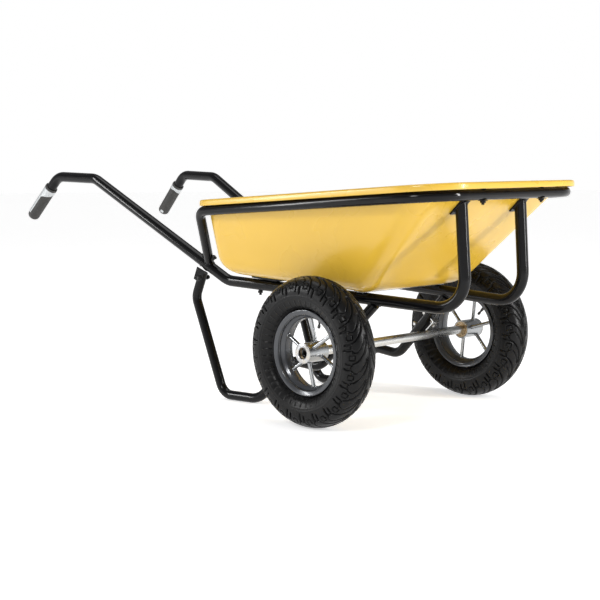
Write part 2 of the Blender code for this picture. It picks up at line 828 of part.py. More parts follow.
def make_valve(name, side, rim):
    """The valve stem through the rim's bead seat, pointing to the hub, with its cap."""
    angle = VALVE_ANGLE[side]
    root = around_wheel(side, angle, BEAD_RADIUS, VALVE_OFFSET)
    inward = (around_wheel(side, angle, 0.0, VALVE_OFFSET) - root).normalized()
    steps = ((0, 0.0052), (0.004, 0.0050), (0.022, 0.0040), (0.026, 0.0026), (0.029, 0.0026))
    rings = [section(height, radius) for height, radius in steps]
    skinned(name + "_valve_stem", rings, RUBBER, Matrix.Translation(root) @ pointing(inward))
    drill(rim, name + "_valve_hole", root + inward * 0.006, inward, 0.0055, 0.030)
    rings = [section(0, 0.0040), section(0.007, 0.0038), section(0.0085, 0.0026)]
    tip = root + inward * (0.029 + GAP)
    skinned(name + "_valve_cap", rings, RUBBER, Matrix.Translation(tip) @ pointing(inward))


def make_axle():
    profile = [
        (AXLE_RADIUS, AXLE_HALF_LENGTH),
        (AXLE_RADIUS, -AXLE_HALF_LENGTH),
        (AXLE_RADIUS - AXLE_WALL, -AXLE_HALF_LENGTH),
        (AXLE_RADIUS - AXLE_WALL, AXLE_HALF_LENGTH),
    ]
    turned("axle", profile, GALVANISED, at(0, 0, WHEEL_RADIUS), Vector((0, 1, 0)))


def saddle_matrix(side):
    """Local X runs up the strut, local Y from the strut toward the axle, local Z across.

    Its origin is on the strut's axis, where the strut comes nearest to the axle.
    """
    low = Vector(LEG_BENDS[-1])
    up = (Vector(LEG_END) - low).normalized()
    axle = Vector((0, WHEEL_RADIUS))
    foot = low + up * (axle - low).dot(up)
    reach = axle - foot
    x_axis = Vector((up.x, 0, up.y))
    y_axis = Vector((reach.x, 0, reach.y)).normalized()
    turn = Matrix((x_axis, y_axis, x_axis.cross(y_axis))).transposed().to_4x4()
    return Matrix.Translation(on_frame(foot, side)) @ turn, reach.length


def make_axle_mount(name, side, strut):
    """A bracket between the strut and the axle, bolted through the strut above and below it."""
    matrix, reach = saddle_matrix(side)
    web = reach - AXLE_RADIUS - GAP
    foot = LEG_RADIUS + GAP
    half = SADDLE_LENGTH / 2
    inner = half - SADDLE_THICKNESS
    outline = [
        (-half, foot),
        (-inner, foot),
        (-inner, web - SADDLE_THICKNESS),
        (inner, web - SADDLE_THICKNESS),
        (inner, foot),
        (half, foot),
        (half, web),
        (-half, web),
    ]
    saddle = extruded(name + "_axle_saddle", outline, SADDLE_WIDTH, GALVANISED, matrix)
    forward = matrix.to_3x3() @ Vector((0, 1, 0))
    for place_name, slide in (("upper", SADDLE_BOLT), ("lower", -SADDLE_BOLT)):
        place = matrix @ Vector((slide, web + GAP, 0))
        for target, label in ((saddle, "saddle"), (strut, "strut")):
            drill(target, f"{name}_{place_name}_{label}_hole", place, forward, BOLT_RADIUS, 0.12)
        bolt(
            f"{name}_{place_name}_axle_bolt",
            place,
            forward,
            web + LEG_RADIUS + 2 * GAP,
            head="hex",
            material=ZINC,
        )


def make_grip(name, side):
    """The rubber sleeve with a closed round end, its ribbed inlay and its collar."""
    end = on_frame(HANDLE_END, side)
    axis = (on_frame(HANDLE_BENDS[0], side) - end).normalized()
    bore = HANDLE_RADIUS + GAP
    profile = [
        (0.0, -GAP),
        (bore, -GAP),
        (bore, GRIP_LENGTH),
        (GRIP_RADIUS, GRIP_LENGTH),
        (GRIP_RADIUS, 0.0035),
        (0.0170, -0.0020),
        (0.0110, -0.0050),
        (0.0, -0.0050),
    ]
    turned(name + "_grip", profile, GRIP_RUBBER, end, axis, closed=False)
    ring = ring_profile(bore, GRIP_RADIUS + 0.0016, GRIP_LENGTH + GAP, GRIP_LENGTH + COLLAR_LENGTH)
    turned(name + "_grip_collar", ring, SILVER, end, axis)
    inner = GRIP_RADIUS + GAP
    sweep = 2 * INLAY_HALF_ANGLE
    sector = arc((0, 0), inner + INLAY_THICKNESS, -INLAY_HALF_ANGLE, sweep, 8)
    sector += arc((0, 0), inner, INLAY_HALF_ANGLE, -sweep, 8)
    length = GRIP_LENGTH - INLAY_START
    middle = end + axis * (INLAY_START + length / 2)
    matrix = Matrix.Translation(middle) @ pointing(axis, Vector((-1, 0, 0.2)))
    extruded(name + "_grip_inlay", sector, length, SILVER, matrix)


clear_scene()
PARTS = new_collection("twin_wheel_wheelbarrow")
CUTTERS = new_collection("cutters", hidden=True)
YELLOW = principled("yellow_polypropylene", (0.80, 0.50, 0.08), 0.32, 0.0)
GLOSS_BLACK = principled("gloss_black_paint", (0.008, 0.008, 0.008), 0.18, 0.0)
GALVANISED = principled("galvanised_steel", (0.62, 0.62, 0.60), 0.35, 1.0)
STEEL = principled("bright_steel", (0.45, 0.45, 0.45), 0.25, 1.0)
STEEL_DARK = principled("black_bolt_steel", (0.03, 0.03, 0.03), 0.40, 0.8)
ZINC = principled("zinc_plate", (0.75, 0.76, 0.78), 0.30, 1.0)
GREY_PAINT = principled("grey_rim_paint", (0.13, 0.135, 0.14), 0.35, 0.3)
RUBBER = principled("tyre_rubber", (0.018, 0.018, 0.018), 0.75, 0.0)
BUTYL = principled("butyl_rubber", (0.02, 0.02, 0.02), 0.60, 0.0)
BRASS = principled("bearing_bronze", (0.45, 0.28, 0.12), 0.40, 1.0)
GRIP_RUBBER = principled("grip_rubber", (0.045, 0.045, 0.042), 0.60, 0.0)
SILVER = principled("silver_grip_plastic", (0.55, 0.57, 0.58), 0.35, 0.2)

make_tray()
make_rim_rail()
make_crossbars()
make_axle()
for side_name, side_sign in SIDES.items():
    make_handle_tube(side_name, side_sign)
    make_upright_plate(side_name, side_sign)
    leg_tube = make_leg_tube(side_name, side_sign)
    make_axle_mount(side_name, side_sign, leg_tube)
    make_wheel(side_name + "_wheel", side_sign)
    make_grip(side_name, side_sign)
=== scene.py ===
"""The look of the twin-wheel wheelbarrow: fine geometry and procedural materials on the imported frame.

X runs from the grips to the nose, Y to the left, Z up from the ground, in metres. Points are first
written with x counted from the wheel axle, and at() moves them into the frame. A side is -1 for the
right half and +1 for the left half.
"""

import math

import bmesh
import bpy
import numpy as np
from mathutils import Matrix, Vector


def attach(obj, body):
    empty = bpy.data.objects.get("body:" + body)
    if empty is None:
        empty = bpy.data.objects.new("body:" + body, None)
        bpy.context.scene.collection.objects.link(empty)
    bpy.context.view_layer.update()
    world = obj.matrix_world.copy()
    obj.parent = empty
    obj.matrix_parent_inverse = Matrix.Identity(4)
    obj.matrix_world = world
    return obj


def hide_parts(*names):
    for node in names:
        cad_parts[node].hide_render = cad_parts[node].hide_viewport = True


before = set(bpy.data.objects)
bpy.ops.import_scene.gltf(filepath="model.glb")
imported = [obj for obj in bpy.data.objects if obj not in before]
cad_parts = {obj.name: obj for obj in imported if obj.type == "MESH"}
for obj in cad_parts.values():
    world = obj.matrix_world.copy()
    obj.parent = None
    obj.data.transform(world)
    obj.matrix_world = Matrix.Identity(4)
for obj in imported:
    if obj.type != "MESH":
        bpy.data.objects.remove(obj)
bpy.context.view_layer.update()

# Layout and sizes, as in the CAD
AXLE_X = 0.4606
SIDES = {"right": -1, "left": 1}
WHEEL_RADIUS = 0.200
HALF_TRACK = 0.336
BEAD_RADIUS = 0.1016
RIM_EDGE = 0.113
RIM_WELL = 0.0922
RIM_WALL = 0.0022
HUB_RADIUS = 0.0264
HUB_BORE = 0.0230
HUB_OUT = 0.0350
HUB_IN = 0.0370
SPOKE_RADIUS = 0.0052
SPOKE_STAGGER = 0.0150
SPOKE_TIP_STAGGER = 0.0035
SPOKES = 6
SPOKE_START = {-1: math.radians(95.5), 1: math.radians(76.5)}
VALVE_ANGLE = {-1: math.radians(78), 1: math.radians(46)}
VALVE_OFFSET = -0.0110
AXLE_RADIUS = 0.0125
AXLE_WALL = 0.0025
AXLE_HALF_LENGTH = 0.3600
HANDLE_RADIUS = 0.0160
LEG_RADIUS = 0.0140
RAIL_RADIUS = 0.0140
NOSE_X = 0.342
NOSE_HALF_WIDTH = 0.127
SPLAY = 0.0912
HANDLE_END = (-1.331, 0.524)
HANDLE_BENDS = [(-1.200, 0.653), (-1.026, 0.647), (-0.466, 0.352), (0.342, 0.314)]
HANDLE_BEND_RADII = [0.060, 0.075, 0.080, 0.080]
UPRIGHT_TOP_X = 0.320
LEG_TOP = (-0.566, 0.372)
LEG_BENDS = [(-0.596, 0.297), (-0.490, 0.014), (-0.350, 0.014), (-0.232, 0.138), (-0.131, 0.129)]
LEG_BEND_RADII = [0.045, 0.045, 0.080, 0.050, 0.055]
LEG_END = (0.0573, 0.3135)
RAIL_Z = 0.5865
RAIL_RISE = 0.0622
RAIL_HALF_WIDTH = 0.327
RAIL_REAR_X = -0.447
RAIL_FRONT_X = 0.392
RAIL_END = (-0.540, 0.400)
RAIL_REAR_BEND = 0.048
RAIL_FRONT_BEND = 0.120
WALL = 0.0035
FLOOR_Z = 0.3508
FLOOR_FALL = 0.0657
FLANGE_LIFT = 0.0135
LIP_HEIGHT = 0.0170
NOSE_BOW = 0.012
PLATE_THICKNESS = 0.0050
GRIP_LENGTH = 0.128
GRIP_RADIUS = 0.0192
COLLAR_LENGTH = 0.008

# Fineness of the detailed pieces
TUBE_SIDES = 40
BEND_STEPS = 14
WHEEL_STEPS = 128

# Tyre: repeats of the tread round the wheel, mesh steps along each repeat and across the tyre
PITCHES = 22
PITCH_STEPS = 36
PROFILE_STEP = 0.0017

# Tyre sidewall: radial ribs between two radii, and rings at the given radii
SIDEWALL_RIBS = 44
RIB_HEIGHT = 0.0012
RIB_INNER = 0.1185
RIB_OUTER = 0.1400
RIB_FADE = 0.0015
SIDEWALL_RINGS = (0.1165, 0.1430, 0.1510)
RING_HEIGHT = 0.0007
RING_WIDTH = 0.0010

# Bearings and the washer over them
ROLLERS = 14
OUTER_RACE_BORE = 0.0205
INNER_RACE_RADIUS = 0.0156
INNER_RACE_BORE = 0.0128
ROLLER_ENDS = (0.0014, 0.0020, 0.0020, 0.0014)
INNER_BEARING = (0.0004 - HUB_IN, 0.0130 - HUB_IN)
OUTER_BEARING = (HUB_OUT - 0.0280, HUB_OUT - 0.0160)
WASHER_BORE = 0.0152
WASHER_GAP = 0.0003
WASHER_THICKNESS = 0.0015

# Weld beads: half the ripples round a bead and, for a spoke's, the place along the bar and thickness
BEAD_RIPPLES = 15
SPOKE_ROOT_BEAD = (0.0024, 0.0014)
SPOKE_TIP_BEAD = (0.0008, 0.0013)

# Grips: the way that the silver inlay faces (Y toward the outer side), its ends and its ribs
INLAY_FACES = (-0.35, 0.87, 0.36)
INLAY_START = 0.0140
INLAY_LIFT = 0.0013
INLAY_RIB_PITCH = 0.0034
INLAY_RIB_DEPTH = 0.00035
INLAY_RIBS_END = 0.100
INLAY_HALF_DEGREES = 27.0
INLAY_FLARE_START = 0.088
INLAY_FLARE_LENGTH = 0.030
INLAY_ROWS = 150
INLAY_STEPS = 60
SLEEVE_RIBS = 26
SLEEVE_RIB_PITCH = 0.0042
SLEEVE_RIBS_START = 0.0120


def at(x, y, z):
    return Vector((x + AXLE_X, y, z))


def frame_y(x):
    """Half the distance between the two splayed side frames, x metres ahead of the axle."""
    return NOSE_HALF_WIDTH + SPLAY * (NOSE_X - x)


def on_frame(point, side):
    x, z = point
    return at(x, side * frame_y(x), z)


def pointing(place, direction, roll_to=Vector((0, 0, 1))):
    """A place whose local Z runs along the direction and whose local X is as near to roll_to as can be."""
    z = Vector(direction).normalized()
    x = roll_to - z * roll_to.dot(z)
    if x.length < 1e-6:
        x = z.orthogonal()
    x.normalize()
    turn = Matrix((x, z.cross(x), z)).transposed().to_4x4()
    return Matrix.Translation(place) @ turn


# ---------------------------------------------------------------- materials


RAMP_SOCKETS = ("From Min", "From Max", "To Min", "To Max")


class Nodes:
    """A material's node tree, with short calls for the nodes that these finishes share."""

    def __init__(self, name):
        self.material = bpy.data.materials.new(name)
        self.material.use_nodes = True
        self.tree = self.material.node_tree
        self.shader = self.tree.nodes["Principled BSDF"]
        self.place = self.tree.nodes.new("ShaderNodeTexCoord").outputs["Object"]

    def link(self, start, end):
        self.tree.links.new(start, end)

    def stretched(self, scale):
        """The surface's own coordinates, scaled by a different amount along each axis."""
        mapping = self.tree.nodes.new("ShaderNodeMapping")
        mapping.inputs["Scale"].default_value = scale
        self.link(self.place, mapping.inputs["Vector"])
        return mapping.outputs["Vector"]

    def noise(self, scale, detail=4.0, roughness=0.55, vector=None):
        node = self.tree.nodes.new("ShaderNodeTexNoise")
        node.inputs["Scale"].default_value = scale
        node.inputs["Detail"].default_value = detail
        node.inputs["Roughness"].default_value = roughness
        self.link(vector or self.place, node.inputs["Vector"])
        return node.outputs["Fac"]

    def cells(self, scale):
        """The distance to the nearest of many scattered points."""
        node = self.tree.nodes.new("ShaderNodeTexVoronoi")
        node.inputs["Scale"].default_value = scale
        self.link(self.place, node.inputs["Vector"])
        return node.outputs["Distance"]

    def ramp(self, value, low, high, start, end):
        """The value, which runs from low to high, mapped onto start to end."""
        node = self.tree.nodes.new("ShaderNodeMapRange")
        for socket, setting in zip(RAMP_SOCKETS, (low, high, start, end)):
            node.inputs[socket].default_value = setting
        self.link(value, node.inputs["Value"])
        return node.outputs["Result"]

    def mixer(self, value, second):
        node = self.tree.nodes.new("ShaderNodeMix")
        node.data_type = "RGBA"
        node.inputs["B"].default_value = (*second, 1.0)
        self.link(value, node.inputs["Factor"])
        return node

    def colours(self, value, first, second):
        """The first colour where the value is 0, the second where it is 1."""
        node = self.mixer(value, second)
        node.inputs["A"].default_value = (*first, 1.0)
        return node.outputs["Result"]

    def tinted(self, value, colour, second):
        """The colour that a socket gives where the value is 0, and the second colour where it is 1."""
        node = self.mixer(value, second)
        self.link(colour, node.inputs["A"])
        return node.outputs["Result"]

    def bump(self, *layers):
        """Bumps one on another, each given as a height socket and its distance in metres."""
        normal = None
        for height, distance in layers:
            node = self.tree.nodes.new("ShaderNodeBump")
            node.inputs["Distance"].default_value = distance
            self.link(height, node.inputs["Height"])
            if normal:
                self.link(normal, node.inputs["Normal"])
            normal = node.outputs["Normal"]
        self.link(normal, self.shader.inputs["Normal"])

    def finish(self, colour, roughness, **constants):
        self.link(colour, self.shader.inputs["Base Color"])
        self.link(roughness, self.shader.inputs["Roughness"])
        for name, value in constants.items():
            self.shader.inputs[name.replace("_", " ")].default_value = value
        return self.material


def tray_plastic():
    """Moulded yellow polypropylene: semi-gloss, with faint flow streaks and a fine pebble."""
    n = Nodes("tray_polypropylene")
    flow = n.noise(2.6, 2.0, 0.4, n.stretched((1.0, 1.0, 2.5)))
    colour = n.colours(n.ramp(flow, 0.3, 0.7, 0.0, 1.0), (0.645, 0.400, 0.038), (0.680, 0.425, 0.045))
    speck = n.ramp(n.noise(420.0, 2.0), 0.66, 0.80, 0.0, 0.25)
    colour = n.tinted(speck, colour, (0.53, 0.32, 0.040))
    pebble = n.noise(900.0, 3.0)
    n.bump((n.noise(5.0, 1.0), 0.0008), (pebble, 0.00005))
    rough = n.ramp(n.noise(9.0, 2.0, 0.4), 0.3, 0.7, 0.26, 0.31)
    return n.finish(colour, rough, Specular_IOR_Level=0.5, Coat_Weight=0.20, Coat_Roughness=0.10)


def gloss_black():
    """Powder coat: near black under a clear gloss, with orange peel and a little dust."""
    n = Nodes("gloss_black_paint")
    dust = n.ramp(n.noise(60.0, 8.0, 0.7), 0.58, 0.80, 0.0, 0.5)
    colour = n.colours(dust, (0.0035, 0.0035, 0.0040), (0.012, 0.0115, 0.011))
    n.bump((n.noise(320.0, 2.0), 0.00007), (n.noise(1500.0, 2.0), 0.00001))
    roughness = n.ramp(n.noise(35.0, 6.0), 0.3, 0.7, 0.10, 0.18)
    return n.finish(colour, roughness, Specular_IOR_Level=0.16, Coat_Weight=0.08, Coat_Roughness=0.04)


def black_bolts():
    """Black oxide on steel, worn to bare metal here and there."""
    n = Nodes("black_bolt_steel")
    wear = n.ramp(n.noise(260.0, 6.0, 0.65), 0.56, 0.70, 0.0, 0.7)
    colour = n.colours(wear, (0.018, 0.018, 0.018), (0.20, 0.19, 0.18))
    n.bump((n.noise(1400.0, 3.0), 0.00004))
    rough = n.ramp(n.noise(300.0, 4.0), 0.3, 0.7, 0.28, 0.46)
    return n.finish(colour, rough, Metallic=0.85)


def galvanised():
    """Zinc-coated steel with soft spangle and drawn streaks."""
    n = Nodes("galvanised_steel")
    spangle = n.cells(95.0)
    streaks = n.noise(40.0, 5.0, 0.6, n.stretched((1.0, 0.12, 1.0)))
    colour = n.colours(n.ramp(streaks, 0.3, 0.7, 0.0, 1.0), (0.58, 0.58, 0.57), (0.68, 0.68, 0.66))
    tone = n.ramp(spangle, 0.0, 0.9, 0.0, 0.22)
    colour = n.tinted(tone, colour, (0.42, 0.43, 0.44))
    n.bump((n.noise(500.0, 4.0), 0.00006))
    rough = n.ramp(streaks, 0.3, 0.7, 0.22, 0.32)
    return n.finish(colour, rough, Metallic=1.0)


def zinc():
    """Bright zinc plate with a faint yellow passivation."""
    n = Nodes("zinc_plate")
    tint = n.ramp(n.noise(90.0, 4.0), 0.35, 0.65, 0.0, 1.0)
    colour = n.colours(tint, (0.47, 0.48, 0.50), (0.53, 0.50, 0.45))
    n.bump((n.noise(1300.0, 3.0), 0.00003))
    rough = n.ramp(n.noise(200.0, 5.0), 0.3, 0.7, 0.16, 0.30)
    return n.finish(colour, rough, Metallic=1.0)


def bright_steel():
    """Satin steel with turning marks round the hub and along the spokes."""
    n = Nodes("bright_steel")
    lines = n.noise(60.0, 4.0, 0.6, n.stretched((1.0, 14.0, 1.0)))
    cloud = n.noise(30.0, 5.0, 0.6)
    colour = n.colours(n.ramp(cloud, 0.3, 0.7, 0.0, 1.0), (0.33, 0.34, 0.35), (0.40, 0.41, 0.42))
    n.bump((lines, 0.00005), (n.noise(900.0, 3.0), 0.00002))
    rough = n.ramp(cloud, 0.3, 0.7, 0.22, 0.29)
    return n.finish(colour, rough, Metallic=1.0)


def grey_paint():
    """Metallic grey enamel on the pressed rims."""
    n = Nodes("grey_rim_paint")
    flakes = n.cells(1600.0)
    cloud = n.noise(12.0, 3.0, 0.5)
    colour = n.colours(n.ramp(cloud, 0.3, 0.7, 0.0, 1.0), (0.046, 0.049, 0.055), (0.058, 0.061, 0.067))
    sparkle = n.ramp(flakes, 0.0, 0.45, 0.20, 0.0)
    colour = n.tinted(sparkle, colour, (0.13, 0.137, 0.147))
    n.bump((n.noise(280.0, 2.0), 0.00008), (n.noise(1600.0, 2.0), 0.00002))
    rough = n.ramp(n.noise(50.0, 3.0), 0.3, 0.7, 0.17, 0.23)
    return n.finish(colour, rough, Metallic=0.4, Coat_Weight=0.3, Coat_Roughness=0.06)


def tyre_rubber():
    """Black rubber with a faint bloom and mould texture."""
    n = Nodes("tyre_rubber")
    bloom = n.ramp(n.noise(26.0, 7.0, 0.65), 0.42, 0.75, 0.0, 0.5)
    colour = n.colours(bloom, (0.0045, 0.0045, 0.0048), (0.0090, 0.0088, 0.0085))
    scuff = n.ramp(n.noise(330.0, 5.0, 0.7), 0.60, 0.74, 0.0, 0.4)
    colour = n.tinted(scuff, colour, (0.020, 0.0195, 0.0185))
    n.bump((n.noise(160.0, 4.0), 0.00016), (n.noise(1200.0, 4.0), 0.00005))
    rough = n.ramp(n.noise(70.0, 6.0), 0.3, 0.7, 0.25, 0.36)
    return n.finish(colour, rough, Specular_IOR_Level=0.19)


def butyl():
    """Smooth talc-dusted butyl."""
    n = Nodes("butyl_rubber")
    talc = n.ramp(n.noise(80.0, 8.0, 0.7), 0.45, 0.75, 0.0, 0.7)
    colour = n.colours(talc, (0.016, 0.016, 0.016), (0.11, 0.11, 0.105))
    n.bump((n.noise(300.0, 4.0), 0.0001))
    return n.finish(colour, n.ramp(talc, 0.0, 0.7, 0.45, 0.75))


def bearing_bronze():
    """Greased, stained steel and bronze round the rollers."""
    n = Nodes("bearing_bronze")
    stain = n.ramp(n.noise(240.0, 6.0, 0.65), 0.35, 0.65, 0.0, 1.0)
    colour = n.colours(stain, (0.34, 0.22, 0.10), (0.62, 0.50, 0.34))
    grease = n.ramp(n.noise(110.0, 4.0), 0.55, 0.75, 0.0, 0.7)
    colour = n.tinted(grease, colour, (0.10, 0.07, 0.04))
    n.bump((n.noise(1100.0, 4.0), 0.00006))
    return n.finish(colour, n.ramp(stain, 0.0, 1.0, 0.22, 0.42), Metallic=0.9)


def grip_rubber():
    """Dark grey moulded rubber with a fine stipple."""
    n = Nodes("grip_rubber")
    worn = n.ramp(n.noise(45.0, 6.0, 0.6), 0.35, 0.70, 0.0, 1.0)
    colour = n.colours(worn, (0.020, 0.020, 0.0185), (0.032, 0.031, 0.029))
    stipple = n.cells(700.0)
    n.bump((stipple, 0.00022), (n.noise(90.0, 3.0), 0.0002))
    rough = n.ramp(n.noise(120.0, 5.0), 0.3, 0.7, 0.46, 0.64)
    return n.finish(colour, rough)


def silver_plastic():
    """Silver-lacquered plastic with a metallic flake."""
    n = Nodes("silver_grip_plastic")
    flakes = n.cells(1500.0)
    tone = n.ramp(flakes, 0.0, 0.5, 0.8, 0.0)
    colour = n.colours(tone, (0.46, 0.48, 0.49), (0.70, 0.72, 0.73))
    n.bump((n.noise(500.0, 3.0), 0.00005))
    rough = n.ramp(n.noise(90.0, 4.0), 0.3, 0.7, 0.26, 0.38)
    return n.finish(colour, rough, Metallic=0.45)


FLOOR_RADIUS = 30.0
# The floor's own glow, dim within the first distance of the middle and full beyond the second.
GLOW_NEAR = 0.48
GLOW_FAR = 0.66
GLOW_FADE = (0.8, 3.0)


def floor_paint():
    """A plain pale studio floor, very little mottled, that glows brighter far from the wheelbarrow."""
    n = Nodes("studio_floor")
    tone = n.noise(0.8, 4.0)
    colour = n.colours(n.ramp(tone, 0.3, 0.7, 0.0, 1.0), (0.950, 0.950, 0.950), (0.965, 0.965, 0.965))
    n.bump((n.noise(60.0, 3.0), 0.0002))
    distance = n.tree.nodes.new("ShaderNodeVectorMath")
    distance.operation = "LENGTH"
    n.link(n.place, distance.inputs[0])
    glow = n.ramp(distance.outputs["Value"], *GLOW_FADE, GLOW_NEAR, GLOW_FAR)
    n.link(glow, n.shader.inputs["Emission Strength"])
    n.shader.inputs["Emission Color"].default_value = (1.0, 1.0, 1.0, 1.0)
    return n.finish(colour, n.ramp(tone, 0.3, 0.7, 0.75, 0.85), Specular_IOR_Level=0.1)


FINISHES = {
    "tray_plastic": tray_plastic(),
    "black_paint": gloss_black(),
    "black_bolts": black_bolts(),
    "galvanised": galvanised(),
    "zinc": zinc(),
    "bright_steel": bright_steel(),
    "grey_paint": grey_paint(),
    "tyre_rubber": tyre_rubber(),
    "butyl": butyl(),
    "bearing_bronze": bearing_bronze(),
    "grip_rubber": grip_rubber(),
    "silver_plastic": silver_plastic(),
}


# ---------------------------------------------------------------- mesh tools


def round_point(matrix, radius, angle, height):
    """A point by its radius, angle and height about the local Z axis of a place."""
    return matrix @ Vector((radius * math.cos(angle), radius * math.sin(angle), height))


def skin(rows, caps=True, loop=False):
    """A bmesh through rings of as many points each; a loop joins the last ring to the first."""
    body = bmesh.new()
    rings = [[body.verts.new(point) for point in row] for row in rows]
    after = rings[1:] + rings[:1] if loop else rings[1:]
    for low, high in zip(rings, after):
        for i in range(len(low)):
            j = (i + 1) % len(low)
            body.faces.new((low[i], low[j], high[j], high[i]))
    if caps and not loop:
        body.faces.new(list(reversed(rings[0])))
        body.faces.new(rings[-1])
    return body


def lathed(profile, matrix, steps=48, closed=True):
    """Turns (radius, height) points about the local Z axis of a place."""
    angles = np.linspace(0, 2 * math.pi, steps, endpoint=False)
    rows = [[round_point(matrix, radius, a, height) for a in angles] for radius, height in profile]
    body = skin(rows, caps=False, loop=closed)
    bmesh.ops.remove_doubles(body, verts=body.verts, dist=1e-6)
    return body


def filleted(points, radii):
    """The points of a path whose inner corners are rounded by arcs of the given radii."""
    path = [points[0].copy()]
    for before, corner, after, radius in zip(points, points[1:], points[2:], radii):
        back = (before - corner).normalized()
        ahead = (after - corner).normalized()
        half = back.angle(ahead) / 2
        centre = corner + (back + ahead).normalized() * radius / math.sin(half)
        start = corner + back * radius / math.tan(half) - centre
        end = corner + ahead * radius / math.tan(half) - centre
        path += [centre + start.slerp(end, i / BEND_STEPS) * radius for i in range(BEND_STEPS + 1)]
    path.append(points[-1].copy())
    return path


def swept(path, radii, sides=TUBE_SIDES, loop=False):
    """A round bar along the path; the radii are one number or one for each point."""
    if isinstance(radii, float):
        radii = [radii] * len(path)
    count = len(path)
    across = None
    rows = []
    for i, (place, radius) in enumerate(zip(path, radii)):
        behind = path[i - 1] if i or loop else place
        ahead = path[(i + 1) % count] if i + 1 < count or loop else place
        along = (ahead - behind).normalized()
        across = across or along.orthogonal()
        across = (across - along * across.dot(along)).normalized()
        other = along.cross(across)
        ring = []
        for k in range(sides):
            a = 2 * math.pi * k / sides
            ring.append(place + (across * math.cos(a) + other * math.sin(a)) * radius)
        rows.append(ring)
    return skin(rows, loop=loop)


def mesh_of(body, name):
    mesh = bpy.data.meshes.new(name)
    body.to_mesh(mesh)
    body.free()
    return mesh


def shown(name, data):
    """A new object in the scene that holds a mesh, a light or a camera."""
    obj = bpy.data.objects.new(name, data)
    bpy.context.scene.collection.objects.link(obj)
    return obj


def joined(bodies):
    """One bmesh that holds all of the given ones."""
    whole = bmesh.new()
    for body in bodies:
        mesh = mesh_of(body, "part")
        whole.from_mesh(mesh)
        bpy.data.meshes.remove(mesh)
    return whole


def add(name, body, finish, rides_on, stands_for=(), smooth=38):
    """Makes a bmesh a piece that rides on a body and stands for the given CAD nodes."""
    bmesh.ops.recalc_face_normals(body, faces=body.faces)
    mesh = mesh_of(body, name)
    mesh.shade_smooth()
    mesh.set_sharp_from_angle(angle=math.radians(smooth))
    mesh.materials.append(FINISHES[finish])
    obj = shown(name, mesh)
    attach(obj, rides_on)
    if stands_for:
        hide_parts(*stands_for)
    return obj


def bevelled(obj, width, angle):
    """Rounds the object's edges that turn by more than the angle, in degrees."""
    bevel = obj.modifiers.new("Edges", "BEVEL")
    bevel.width = width
    bevel.segments = 2
    bevel.limit_method = "ANGLE"
    bevel.angle_limit = math.radians(angle)


def weld_ring(matrix, radius, height_at, thickness=0.0022, steps=96):
    """A weld bead round a bar: local Z runs along the bar, height_at gives the seam's place on it."""
    path = []
    radii = []
    for i in range(steps):
        a = 2 * math.pi * i / steps
        path.append(round_point(matrix, radius, a, height_at(a)))
        radii.append(thickness * (0.86 + 0.14 * abs(math.sin(a * BEAD_RIPPLES))))
    return swept(path, radii, sides=10, loop=True)


# ---------------------------------------------------------------- tray


FLOOR_EDGE = dict(
    rear_x=-0.432, front_x=0.070, rear_half=0.280, front_half=0.226,
    rear_radius=0.050, front_radius=0.045, bow=0.0,
)
WALL_TOP = dict(
    rear_x=-0.458, front_x=0.379, rear_half=0.308, front_half=0.308,
    rear_radius=0.045, front_radius=0.075, bow=0.0,
)
LIP_EDGE = dict(
    rear_x=-0.474, front_x=0.423 - NOSE_BOW, rear_half=0.342, front_half=0.342,
    rear_radius=0.072, front_radius=0.130, bow=NOSE_BOW,
)
# Rings of the tray: steps in from the floor's bend, shares of the wall's height, and the flange and
# lip as (share of the flange's width, drop below its top).
FLOOR_STEPS = (0.12, 0.08, 0.04)
WALL_SHARES = (0.40, 0.54, 0.68, 0.82, 0.94, 0.975)
FLANGE_LINE = [(0.05, 0.0042), (0.11, 0.0018), (0.18, 0.0006), (0.30, 0.0), (0.55, 0.0), (0.78, 0.0)]
FLANGE_LINE += [(0.88, 0.0006), (0.94, 0.0018), (0.98, 0.0038), (1.0, 0.0068), (1.0, 0.0120)]
FLANGE_LINE += [(1.0, LIP_HEIGHT)]
FLOOR_BEND = 0.066
FRONT_BEND_SHARE = 0.5
WALL_BEND_SHARE = 0.26
NOSE_BEND_SHARE = 0.13


def rail_z(x):
    return RAIL_Z + RAIL_RISE * x


def floor_z(x):
    return FLOOR_Z - FLOOR_FALL * x


def flange_z(x):
    return rail_z(x) + RAIL_RADIUS + FLANGE_LIFT + WALL


def arc(centre, radius, start, sweep, steps):
    x, y = centre
    angles = [start + sweep * i / steps for i in range(steps + 1)]
    return [(x + radius * math.cos(a), y + radius * math.sin(a)) for a in angles]


def outline(rear_x, front_x, rear_half, front_half, rear_radius, front_radius, bow):
    """A closed outline seen from above: four sides, rounded corners and a nose bowed forward."""
    quarter = math.pi / 2
    taper = math.atan2(rear_half - front_half, front_x - rear_x)
    front_y = front_half - front_radius
    front = arc((front_x - front_radius, front_y), front_radius, 0, quarter + taper, 16)
    rear_y = rear_half - rear_radius
    rear = arc((rear_x + rear_radius, rear_y), rear_radius, quarter + taper, quarter - taper, 14)
    nose = [(front_x, front_y * i / 12) for i in range(12)]
    start = Vector(front[-1])
    end = Vector(rear[0])
    side = [tuple(start.lerp(end, i / 20)) for i in range(1, 20)]
    back = [(rear_x, rear_y * (1 - i / 8)) for i in range(1, 8)]
    half = nose + front + side + rear + back + [(rear_x, 0.0)]
    reach = front_radius + front_x - side[3][0]
    bowed = []
    for x, y in half:
        near_nose = max(0.0, 1 - (front_x - x) / reach)
        bowed.append((x + bow * near_nose * (1 - (y / front_half) ** 2), y))
    return bowed + [(x, -y) for x, y in reversed(bowed[1:-1])]


def mixed(first, second, share):
    return {key: first[key] + (second[key] - first[key]) * share for key in first}


